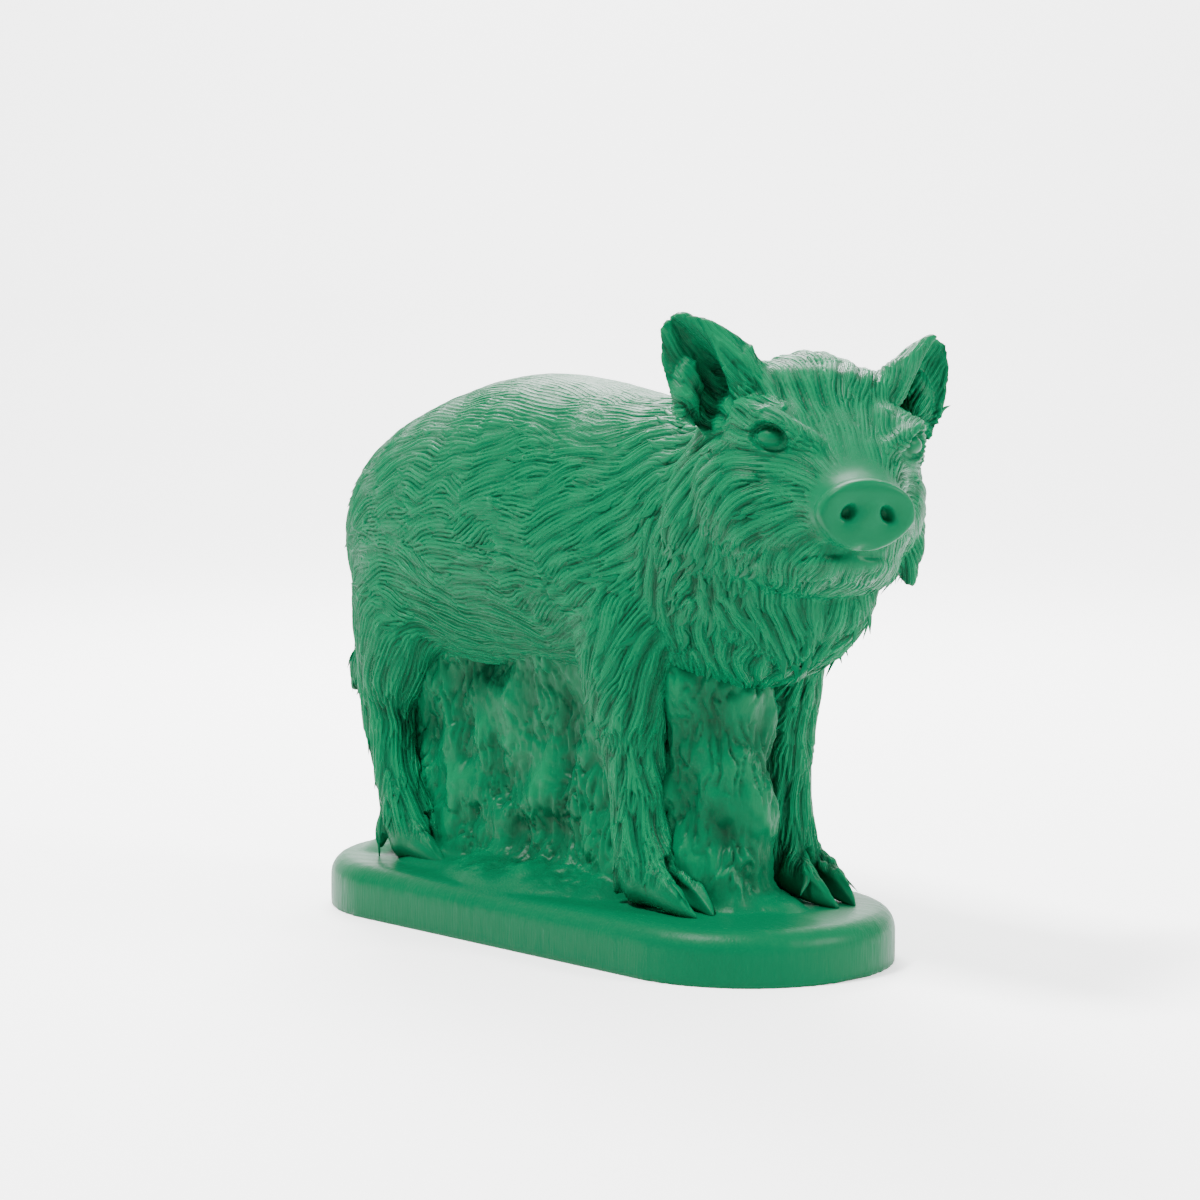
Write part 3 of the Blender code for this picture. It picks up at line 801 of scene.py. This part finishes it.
def toWorld(mesh):
    for vertex in mesh.verts:
        vertex.co = Vector((vertex.co.x * unit, vertex.co.y * unit, vertex.co.z * unit + top))


def fillPiglet(mesh):
    for stations in (trunk, neck, chest, nearForeLeg, farForeLeg, nearHindLeg, tail):
        limb(mesh, [(Vector((x, y, z)), w, h) for x, y, z, w, h in stations])
    limb(mesh, [(Vector((x + farHindShift, -y, z)), w, h) for x, y, z, w, h in nearHindLeg])
    head(mesh)
    ear(mesh, -1)
    ear(mesh, 1)
    for x, y, turned in hooves:
        hoof(mesh, x, y, turned)
    toWorld(mesh)


def fillGround(mesh):
    rock(mesh)
    toWorld(mesh)
    plinth(mesh)


def nearLine(points, line):
    # Distance of each point to a bent line.
    nearest = np.full(len(points), np.inf)
    for start, end in zip(line, line[1:]):
        start, along = np.array(start, dtype=float), np.array(end, dtype=float) - start
        share = np.clip((points - start) @ along / (along @ along), 0, 1)
        nearest = np.minimum(nearest, np.linalg.norm(points - start - share[:, None] * along, axis=1))
    return nearest


def pressNostrils(data):
    # The snout narrows below and leans; nostrils, the notch and the crease of the mouth are pressed in.
    points, normals = positions(data), normalsOf(data)
    axes = np.array(headTurn())
    local = headLocal(points)
    disc = rising(local[:, 0], 112, 14)
    low = falling(local[:, 2], -54, 24)
    move = np.zeros_like(local)
    move[:, 1] = -0.20 * low * disc * (local[:, 1] - snoutSide)
    move[:, 0] = 0.16 * disc * (local[:, 2] + 54)
    for side in (-1, 1):
        sideways = (local[:, 1] - snoutSide - side * features["nostrilApart"]) * side
        away = np.hypot(sideways / 0.95, local[:, 2] - features["nostrilUp"] + 0.35 * sideways)
        hole = np.exp(np.clip((away - features["nostrilRadius"]) * 1.7, -30, 30))
        move[:, 0] -= features["nostrilDepth"] * disc / (1 + hole)
        move[:, 0] -= 1.6 * disc * np.exp(-((away - 2) / 9) ** 2)
    move[:, 0] += 1.4 * disc * np.exp(-((local[:, 2] + 36) / 6) ** 2)
    notch = np.exp(-((local[:, 1] - snoutSide) / 6.5) ** 2 - ((local[:, 2] + 75.5) / 3) ** 2)
    move[:, 0] -= 4.5 * disc * notch
    points = points + move @ axes.T * unit
    for side in (-1, 1):
        line = [(116, snoutSide, -80), (104, side * 20, -82), (84, side * 32, -87)]
        crease = features["mouthDepth"] * np.exp(-(nearLine(local, line) / 3.2) ** 2)
        points = points - crease[:, None] * unit * normals
    place(data, points)


def cleaveHooves(data):
    # A narrow cleft between the two toes of each hoof, and a step where the hair ends above them.
    points, normals = positions(data), normalsOf(data)
    figure = inFigure(points)
    for x, y, turned in hooves:
        turn = math.radians(turned)
        ahead = (figure[:, 0] - x) * math.cos(turn) + (figure[:, 1] - y) * math.sin(turn)
        aside = (figure[:, 1] - y) * math.cos(turn) - (figure[:, 0] - x) * math.sin(turn)
        near = rising(ahead, -4, 10) * (np.abs(aside) < 30) * (ahead < 70) * (figure[:, 2] < 40)
        edge = 27 + 1.5 * np.sin(aside * 0.9) - 0.35 * ahead
        step = 1.8 / (1 + np.exp(np.clip((figure[:, 2] - edge) * 1.2, -30, 30)))
        dent = features["cleftDepth"] * bump(aside, features["cleftWidth"]) + step
        points = points - (dent * near)[:, None] * unit * normals
    place(data, points)


def carveEyes(data):
    # A lens-shaped eye under the brow, with two lids and a crease round it, on each side of the face.
    points = positions(data)
    axes = np.array(headTurn())
    forward, abreast, upward = features["eye"]
    facing = features["eyeFacing"]
    for side in (-1, 1):
        local = headLocal(points) - (forward, side * abreast, upward)
        out = Vector((facing[0], side * facing[1], facing[2])).normalized()
        rise = (Vector((0, 0, 1)) - out * out.z).normalized()
        across = rise.cross(out)
        depth = local @ np.array(out)
        sideways = local @ np.array(across) / features["eyeWidth"]
        high = local @ np.array(rise) / features["eyeHeight"]
        inner = np.clip(sideways * -side if across.x > 0 else sideways * side, 0, 2)
        radius = np.hypot(sideways, high + 0.12 * inner)
        flat = falling(radius, 1.8, 0.6)
        flat = flat * flat * (3 - 2 * flat) * (np.abs(depth) < 22)
        lens = features["eyeBulge"] * np.sqrt(np.clip(1 - radius ** 2, 0, 1))
        lids = 1.3 * np.exp(-((radius - 1.16) / 0.11) ** 2) * (1 + 0.5 * np.tanh(high * 3))
        crease = -0.7 * np.exp(-((radius - 1.42) / 0.11) ** 2)
        socket = -1.5 * np.exp(-((radius - 1.5) / 0.30) ** 2)
        wanted = lens + lids + crease + socket - 4
        points = points + ((wanted - depth) * flat)[:, None] * unit * (axes @ np.array(out))
    place(data, points)


def lockShape(settings):
    # One lock: a slim closed body with ridged strands on its back, sunk at the root, lifted at the tip.
    bands, across = 5, 7
    corners, faces = [], []
    for i in range(bands + 1):
        u = i / bands
        taper = max(1 - u ** 2.4, 0.05) * min(0.5 + 2.4 * u, 1)
        rise = settings["lockSink"] * (u - 1) + settings["lockLift"] * u ** 1.6
        sway = 0.10 * settings["lockLength"] * math.sin(4.4 * u)
        for k in range(across + 2):
            v = 2 * k / (across - 1) - 1 if k < across else (0.55, -0.55)[k - across]
            back = 1.1 - 0.9 * v * v - 0.7 * (k % 2 == 0) if k < across else -1.0
            corners.append((settings["lockLength"] * u, sway + settings["lockWidth"] / 2 * v * taper,
                            rise + settings["lockThickness"] * back * taper))
    count = across + 2
    for i in range(bands):
        for k in range(count):
            n = (k + 1) % count
            faces.append((i * count + k, (i + 1) * count + k, (i + 1) * count + n, i * count + n))
    faces.append(tuple(range(count)))
    faces.append(tuple(bands * count + k for k in range(count))[::-1])
    shape = bpy.data.meshes.new("lockShape")
    shape.from_pydata(corners, [], faces)
    mesh = bmesh.new()
    mesh.from_mesh(shape)
    bmesh.ops.recalc_face_normals(mesh, faces=mesh.faces)
    mesh.to_mesh(shape)
    mesh.free()
    shape.shade_smooth()
    obj = bpy.data.objects.new("lockShape", shape)
    bpy.context.scene.collection.objects.link(obj)
    return obj


def grow(tree, kind, inputs=(), **settings):
    # Adds a node: first its settings, then its inputs, each a value or another node's output.
    node = tree.nodes.new(kind)
    for name, value in settings.items():
        setattr(node, name, value)
    for name, value in dict(inputs).items():
        if isinstance(value, bpy.types.NodeSocket):
            tree.links.new(value, node.inputs[name])
        else:
            node.inputs[name].default_value = value
    return node


def lockTree():
    # Loose locks scattered over a skin: they lie along its "lay", stand out along its "out".
    tree = bpy.data.node_groups.new("looseLocks", "GeometryNodeTree")
    for name, kind in (("Skin", "Geometry"), ("Lock", "Object"), ("Spacing", "Float"), ("Density", "Float"),
                       ("Seed", "Int"), ("Smallest", "Float"), ("Largest", "Float"),
                       ("Material", "Material")):
        tree.interface.new_socket(name, in_out="INPUT", socket_type="NodeSocket" + kind)
    tree.interface.new_socket("Locks", in_out="OUTPUT", socket_type="NodeSocketGeometry")
    given = tree.nodes.new("NodeGroupInput").outputs
    result = tree.nodes.new("NodeGroupOutput")

    def named(name, kind):
        found = grow(tree, "GeometryNodeInputNamedAttribute", {"Name": name}, data_type=kind)
        return found.outputs["Attribute"]

    spread = grow(tree, "GeometryNodeDistributePointsOnFaces", {
        "Mesh": given["Skin"], "Distance Min": given["Spacing"], "Density Max": given["Density"],
        "Density Factor": named("thick", "FLOAT"), "Seed": given["Seed"]}, distribute_method="POISSON")
    lie = grow(tree, "FunctionNodeAlignRotationToVector", {"Vector": named("lay", "FLOAT_VECTOR")}, axis="X")
    stand = grow(tree, "FunctionNodeAlignRotationToVector", {
        "Rotation": lie.outputs["Rotation"], "Vector": named("out", "FLOAT_VECTOR")},
        axis="Z", pivot_axis="X")
    chance = grow(tree, "FunctionNodeRandomValue", {
        2: given["Smallest"], 3: given["Largest"], "Seed": given["Seed"]})
    scale = grow(tree, "ShaderNodeMath", {
        0: chance.outputs[1], 1: named("size", "FLOAT")}, operation="MULTIPLY")
    lock = grow(tree, "GeometryNodeObjectInfo", {"Object": given["Lock"]})
    put = grow(tree, "GeometryNodeInstanceOnPoints", {
        "Points": spread.outputs["Points"], "Instance": lock.outputs["Geometry"],
        "Rotation": stand.outputs["Rotation"], "Scale": scale.outputs["Value"]})
    real = grow(tree, "GeometryNodeRealizeInstances", {"Geometry": put.outputs["Instances"]})
    paint = grow(tree, "GeometryNodeSetMaterial", {
        "Geometry": real.outputs["Geometry"], "Material": given["Material"]})
    tree.links.new(paint.outputs["Geometry"], result.inputs["Locks"])
    return tree


def looseLocks(data, settings, material):
    # Grows the loose locks on the carved skin and hands them back as a mesh object.
    carrier = bpy.data.objects.new("looseLocks", data)
    bpy.context.scene.collection.objects.link(carrier)
    shape = lockShape(settings)
    tree = lockTree()
    grown = carrier.modifiers.new("locks", "NODES")
    grown.node_group = tree
    wanted = {"Lock": shape, "Spacing": settings["lockSpacing"], "Density": settings["lockDensity"],
              "Seed": settings["seed"], "Smallest": 0.7, "Largest": 1.25, "Material": material}
    for item in tree.interface.items_tree:
        if item.item_type == "SOCKET" and item.name in wanted:
            grown[item.identifier] = wanted[item.name]
    view = bpy.context.evaluated_depsgraph_get()
    locks = bpy.data.meshes.new_from_object(carrier.evaluated_get(view))
    bpy.data.objects.remove(carrier)
    bpy.data.objects.remove(shape)
    for name in ("lay", "out", "thick", "size"):
        if name in locks.attributes:
            locks.attributes.remove(locks.attributes[name])
    locks.name = "looseLocks"
    locks.shade_smooth()
    obj = bpy.data.objects.new("looseLocks", locks)
    bpy.context.scene.collection.objects.link(obj)
    print("looseLocks triangles", sum(len(p.vertices) - 2 for p in locks.polygons))
    return obj


def keep(data, name, kind, values):
    field = "vector" if kind == "FLOAT_VECTOR" else "value"
    data.attributes.new(name, kind, "POINT").data.foreach_set(field, values.ravel())


def held(data, name, width=1):
    # The values of a point attribute.
    values = np.empty(len(data.vertices) * width)
    data.attributes[name].data.foreach_get("vector" if width == 3 else "value", values)
    return values.reshape(-1, 3) if width == 3 else values


def thinned(data, wanted):
    # Fewer triangles where the skin is plain; the carved lines keep theirs.
    carrier = bpy.data.objects.new("thinned", data)
    bpy.context.scene.collection.objects.link(carrier)
    thin = carrier.modifiers.new("thin", "DECIMATE")
    thin.ratio = min(wanted / sum(len(p.vertices) - 2 for p in data.polygons), 1)
    thin.use_collapse_triangulate = True
    result = bpy.data.meshes.new_from_object(carrier.evaluated_get(bpy.context.evaluated_depsgraph_get()))
    bpy.data.objects.remove(carrier)
    return result


def parted(name, data, cuts, material):
    # Shares one skin out into closed pieces at flat cuts, with the whole skin's normals kept.
    points, normals = positions(data), normalsOf(data)
    loops = np.empty(len(data.loops), dtype=np.int64)
    data.loops.foreach_get("vertex_index", loops)
    starts = np.empty(len(data.polygons), dtype=np.int64)
    data.polygons.foreach_get("loop_start", starts)
    corner = len(loops) // len(starts)
    sheets = loops[starts[:, None] + np.arange(corner)]
    centres = points[sheets].mean(axis=1)
    height, strands = held(data, "relief"), held(data, "strand", 3)
    share = cuts(centres)
    made = []
    for index, label in enumerate(name):
        faces = sheets[share == index]
        used, faces = np.unique(faces, return_inverse=True)
        faces = faces.reshape(-1, corner)
        size = len(used)
        ends = np.stack([faces, np.roll(faces, -1, axis=1)], axis=2).reshape(-1, 2)
        forward = ends[:, 0] * size + ends[:, 1]
        backward = ends[:, 1] * size + ends[:, 0]
        rim = ends[~np.isin(forward, backward)]
        follow = {}
        for a, b in rim.tolist():
            follow.setdefault(a, []).append(b)
        corners = points[used].tolist()
        normal = normals[used].tolist()
        caps = []
        while follow:
            begin = next(iter(follow))
            run = [begin]
            while run[-1] in follow:
                options = follow[run[-1]]
                nextOne = options.pop()
                if not options:
                    del follow[run[-1]]
                if nextOne == begin:
                    break
                run.append(nextOne)
            centre = len(corners)
            corners.append(np.mean([corners[i] for i in run], axis=0).tolist())
            normal.append([0, 0, 1])
            caps += [(run[i], centre, run[(i + 1) % len(run)]) for i in range(len(run))]
        piece = bpy.data.meshes.new(label)
        piece.from_pydata(corners, [], faces.tolist() + caps)
        piece.validate()
        piece.shade_smooth()
        piece.normals_split_custom_set_from_vertices(normal)
        values = np.zeros(len(corners))
        values[:size] = height[used]
        keep(piece, "relief", "FLOAT", values)
        turns = np.zeros((len(corners), 3))
        turns[:size] = strands[used]
        keep(piece, "strand", "FLOAT_VECTOR", turns)
        obj = bpy.data.objects.new(label, piece)
        bpy.context.scene.collection.objects.link(obj)
        piece.materials.append(material)
        made.append(obj)
        print(label, "triangles", sum(len(p.vertices) - 2 for p in piece.polygons))
    return made


def pigletCuts(centres):
    figure = inFigure(centres)
    local = headLocal(centres)
    share = np.where(figure[:, 0] < -75, 3, np.where(figure[:, 0] < 70, 2, 1))
    share = np.where(figure[:, 2] < 152, 4, share)
    share = np.where((local[:, 0] > -62) & (figure[:, 2] > 235) & (local[:, 2] > -122), 0, share)
    return share


def castPlastic(name, settings, ruffled, upright, rough):
    # Satin green with painted shade darkening the carved cuts and the ridges painted a little lighter, with
    # the faint unevenness of a cast surface.
    material = bpy.data.materials.new(name)
    material.use_nodes = True
    tree = material.node_tree
    where = grow(tree, "ShaderNodeTexCoord").outputs["Object"]
    cloud = grow(tree, "ShaderNodeTexNoise", {"Scale": 9.0, "Detail": 4.0, "Vector": where}).outputs["Fac"]
    relief = grow(tree, "ShaderNodeAttribute", attribute_name="relief")
    depth = grow(tree, "ShaderNodeMapRange", {
        "From Min": -0.0016, "From Max": 0.0012, "Value": relief.outputs["Fac"]})
    red, green, blue = settings["green"]
    # painted shade: the colour falls to four tenths in the carved cuts and rises a little on the ridges,
    # following the relief
    paintedCutShade = grow(tree, "ShaderNodeMix", {
        "A": (red, green * 0.40, blue * 0.42, 1), "B": (red, green * 1.10, blue * 1.10, 1),
        "Factor": depth.outputs["Result"]}, data_type="RGBA")
    shade = grow(tree, "ShaderNodeValToRGB", {"Fac": cloud})
    shade.color_ramp.elements[0].color = (0.7, 0.7, 0.7, 1)
    shade.color_ramp.elements[1].color = (1.15, 1.12, 1.15, 1)
    mottle = grow(tree, "ShaderNodeMix", {
        "Factor": 0.35, "A": paintedCutShade.outputs["Result"], "B": shade.outputs["Color"]},
        data_type="RGBA", blend_type="MULTIPLY")
    satin = grow(tree, "ShaderNodeMapRange", {
        "To Min": settings["roughness"] - 0.05, "To Max": settings["roughness"] + 0.09, "Value": cloud})
    stretch = grow(tree, "ShaderNodeVectorMath", {0: where, 1: (1, 1, upright)}, operation="MULTIPLY")
    grit = grow(tree, "ShaderNodeTexNoise", {
        "Scale": ruffled, "Detail": 3.0, "Vector": stretch.outputs["Vector"]})
    dent = grow(tree, "ShaderNodeBump", {
        "Strength": rough, "Distance": 0.0006, "Height": grit.outputs["Fac"]})

    def reckon(operation, *values):
        return grow(tree, "ShaderNodeMath", enumerate(values), operation=operation).outputs["Value"]

    # finer hairs between the carved strands, from the strand's own turn taken one and a half times
    strand = grow(tree, "ShaderNodeAttribute", attribute_name="strand")
    apart = grow(tree, "ShaderNodeSeparateXYZ", {"Vector": strand.outputs["Vector"]}).outputs
    turn = reckon("MULTIPLY", reckon("ARCTAN2", apart["Y"], apart["X"]), 1.5)
    hairs = reckon("ABSOLUTE", reckon("SINE", reckon("ADD", turn, reckon("MULTIPLY", cloud, 6.0))))
    fine = grow(tree, "ShaderNodeBump", {
        "Strength": 0.55, "Distance": 0.0007, "Height": reckon("MULTIPLY", hairs, apart["Z"]),
        "Normal": dent.outputs["Normal"]})
    shader = tree.nodes["Principled BSDF"]
    shader.inputs["Specular IOR Level"].default_value = settings["shine"]
    tree.links.new(mottle.outputs["Result"], shader.inputs["Base Color"])
    tree.links.new(satin.outputs["Result"], shader.inputs["Roughness"])
    tree.links.new(fine.outputs["Normal"], shader.inputs["Normal"])
    return material


def roughenGround(data, settings):
    # Broad tool facets and brushed strokes on the block; fine rake marks run down the plinth's edge.
    points, normals = positions(data), normalsOf(data)
    figure = inFigure(points)
    block = rising(figure[:, 2], 4, 20)
    flat = np.clip(1 - block, 0, 1)
    radial = np.hypot(points[:, 0] * 0.6, points[:, 1])
    rim = np.clip((settings["width"] / 2 - 0.014 - radial) / 0.02, 0, 1) * (figure[:, 2] > -12)
    facets = np.array([noise.voronoi(Vector(p))[0][0] for p in (points / (0.026, 0.026, 0.040)).tolist()])
    lift = 0.0062 * (facets - 0.45) * block
    lift += 0.0050 * smoothNoise(points * (1, 1, 0.6), 0.030, 3.1) * block
    lift += 0.0022 * smoothNoise(points * (1, 1, 0.45), 0.011, 1.7) * block
    bent = points + 0.004 * smoothNoise(points, 0.02, 7.7)[:, None]
    strokes = np.abs(smoothNoise(bent * (1, 1, 0.26), 0.0060, 9.2))
    lift -= 0.0034 * np.clip(0.24 - strokes, 0, 1) / 0.24 * np.clip(
        0.6 + 1.3 * smoothNoise(points, 0.04, 6.6), 0, 1) * block
    lift += 0.0012 * smoothNoise(bent * (1, 1, 0.5), 0.0042, 5.2) * block
    lift += 0.0042 * smoothNoise(points, 0.034, 4.4) * flat * rim
    lift += 0.0009 * smoothNoise(points, 0.008, 6.4) * flat * rim
    angle = np.arctan2(points[:, 1], points[:, 0] * 0.55)
    around = np.where(np.abs(points[:, 0]) < settings["length"] / 2 - settings["width"] / 2, points[:, 0],
                      angle * settings["width"] / 2)
    comb = np.stack([around, points[:, 2] * 0.10, 0 * around], axis=1)
    wall = rising(points[:, 2], 0.003, 0.004) * (1 - rim) * (figure[:, 2] < 3)
    lift += settings["rakeDepth"] * smoothNoise(comb, 0.0021, 2.2) * wall
    lift = np.where(points[:, 2] < 0.002, 0, lift)
    place(data, points + normals * lift[:, None])
    # a quarter of the lift is handed back as relief, which the material turns into painted shade in the
    # block's hollows
    return lift * 0.25


# The piglet's skin, softened where masses meet, then carved
pelt = fused("pigletSkin", fillPiglet, piglet["grain"])
print("skin fused", len(pelt.vertices))
coat, soft = coatShare(positions(pelt))
soften(pelt, soft * 0.6, piglet["softRounds"])
pressNostrils(pelt)
carveEyes(pelt)
cleaveHooves(pelt)
print("skin softened")
points, outward = positions(pelt), normalsOf(pelt)
lay = flow(points, outward, combTable())
thick, size = tuftMap(points, outward, coat)
relief, strands = carveCoat(pelt, piglet, coat)
print("coat carved")
hide = castPlastic("greenCoat", piglet, 260.0, 1.0, 0.18)
keep(pelt, "lay", "FLOAT_VECTOR", lay)
keep(pelt, "out", "FLOAT_VECTOR", outward)
keep(pelt, "thick", "FLOAT", thick)
keep(pelt, "size", "FLOAT", size)
locks = looseLocks(pelt, piglet, hide)
# the carved height, kept so the material can paint shade into the cuts
keep(pelt, "relief", "FLOAT", relief)
keep(pelt, "strand", "FLOAT_VECTOR", strands)
pelt = thinned(pelt, piglet["triangles"])
print("coat thinned")
pieces = [locks] + parted(("head", "shoulders", "flanks", "rump", "legs"), pelt, pigletCuts, hide)

earth = fused("groundSkin", fillGround, ground["grain"])
soften(earth, np.where(positions(earth)[:, 2] < top + 0.001, 0.05, 0.55), 14)
keep(earth, "relief", "FLOAT", roughenGround(earth, ground))
keep(earth, "strand", "FLOAT_VECTOR", np.zeros((len(earth.vertices), 3)))
earth = thinned(earth, ground["triangles"])
# painted shade: the ground's green is made a tenth darker for the shadow under the piglet's belly
paintedShadeGround = dict(piglet, green=tuple(0.9 * part for part in piglet["green"]))
stone = castPlastic("greenGround", paintedShadeGround, 520.0, 0.12, 0.45)
pieces += parted(("ground",), earth, lambda centres: np.zeros(len(centres), dtype=int), stone)
print("ground made")

for piece in pieces:
    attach(piece, "root")
    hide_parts("piglet_sculpture")

# A pale sweep of floor and wall, soft light and the photograph's camera
turned, raised = math.radians(47.0), math.radians(5.8)
away = Vector((-math.sin(turned), math.cos(turned), 0))
aside = Vector((math.cos(turned), math.sin(turned), 0))
sweep = []
for run, rise in ((-6, 0), (3.1, 0), (3.5, 0.04), (3.85, 0.16), (4.1, 0.4), (4.2, 0.8), (4.2, 5)):
    sweep.append([tuple(away * run + aside * wide + Vector((0, 0, rise))) for wide in (-7, 7)])
floorMesh = bpy.data.meshes.new("floor")
floorMesh.from_pydata([point for row in sweep for point in row], [],
                      [(2 * i, 2 * i + 1, 2 * i + 3, 2 * i + 2) for i in range(len(sweep) - 1)])
floorMesh.shade_smooth()
floor = bpy.data.objects.new("floor", floorMesh)
bpy.context.scene.collection.objects.link(floor)
pale = bpy.data.materials.new("paleFloor")
pale.use_nodes = True
for socket, value in (("Base Color", (0.93, 0.93, 0.93, 1)), ("Roughness", 0.9),
                      ("Emission Color", (1, 1, 1, 1)), ("Emission Strength", 0.5)):
    pale.node_tree.nodes["Principled BSDF"].inputs[socket].default_value = value
floorMesh.materials.append(pale)

sky = bpy.data.worlds.new("studio")
bpy.context.scene.world = sky
sky.use_nodes = True
sky.node_tree.nodes["Background"].inputs["Color"].default_value = (1, 1, 1, 1)
sky.node_tree.nodes["Background"].inputs["Strength"].default_value = 0.9


def lamp(name, place, size, power, aim=(0, 0, 0.22)):
    light = bpy.data.lights.new(name, "AREA")
    light.energy = power
    light.size = size
    obj = bpy.data.objects.new(name, light)
    obj.location = place
    obj.rotation_euler = (Vector(aim) - Vector(place)).to_track_quat("-Z", "Y").to_euler()
    bpy.context.scene.collection.objects.link(obj)


lamp("keyLight", (-0.2, -1.3, 2.7), 0.6, 245)
lamp("rightLight", (2.3, 0.9, 1.3), 0.7, 110)
lamp("backLight", (-1.5, 1.2, 1.9), 0.8, 110)
lamp("wallLight", tuple(away * 2.4 + Vector((0, 0, 3.4))), 2.4, 340, tuple(away * 4.0 + Vector((0, 0, 0.8))))

# Measured from the photograph's plinth: turned 47 degrees, looking down 5.8 degrees
back = Vector((math.sin(turned) * math.cos(raised), -math.cos(turned) * math.cos(raised), math.sin(raised)))
target = Vector((-0.001 * math.cos(turned), -0.001 * math.sin(turned), 0.2581))
camera = bpy.data.objects.new("camera", bpy.data.cameras.new("camera"))
camera.data.sensor_width = 36
camera.data.lens = 104.37
camera.location = target + back * 2.7
camera.rotation_euler = (-back).to_track_quat("-Z", "Y").to_euler()
bpy.context.scene.collection.objects.link(camera)
bpy.context.scene.camera = camera
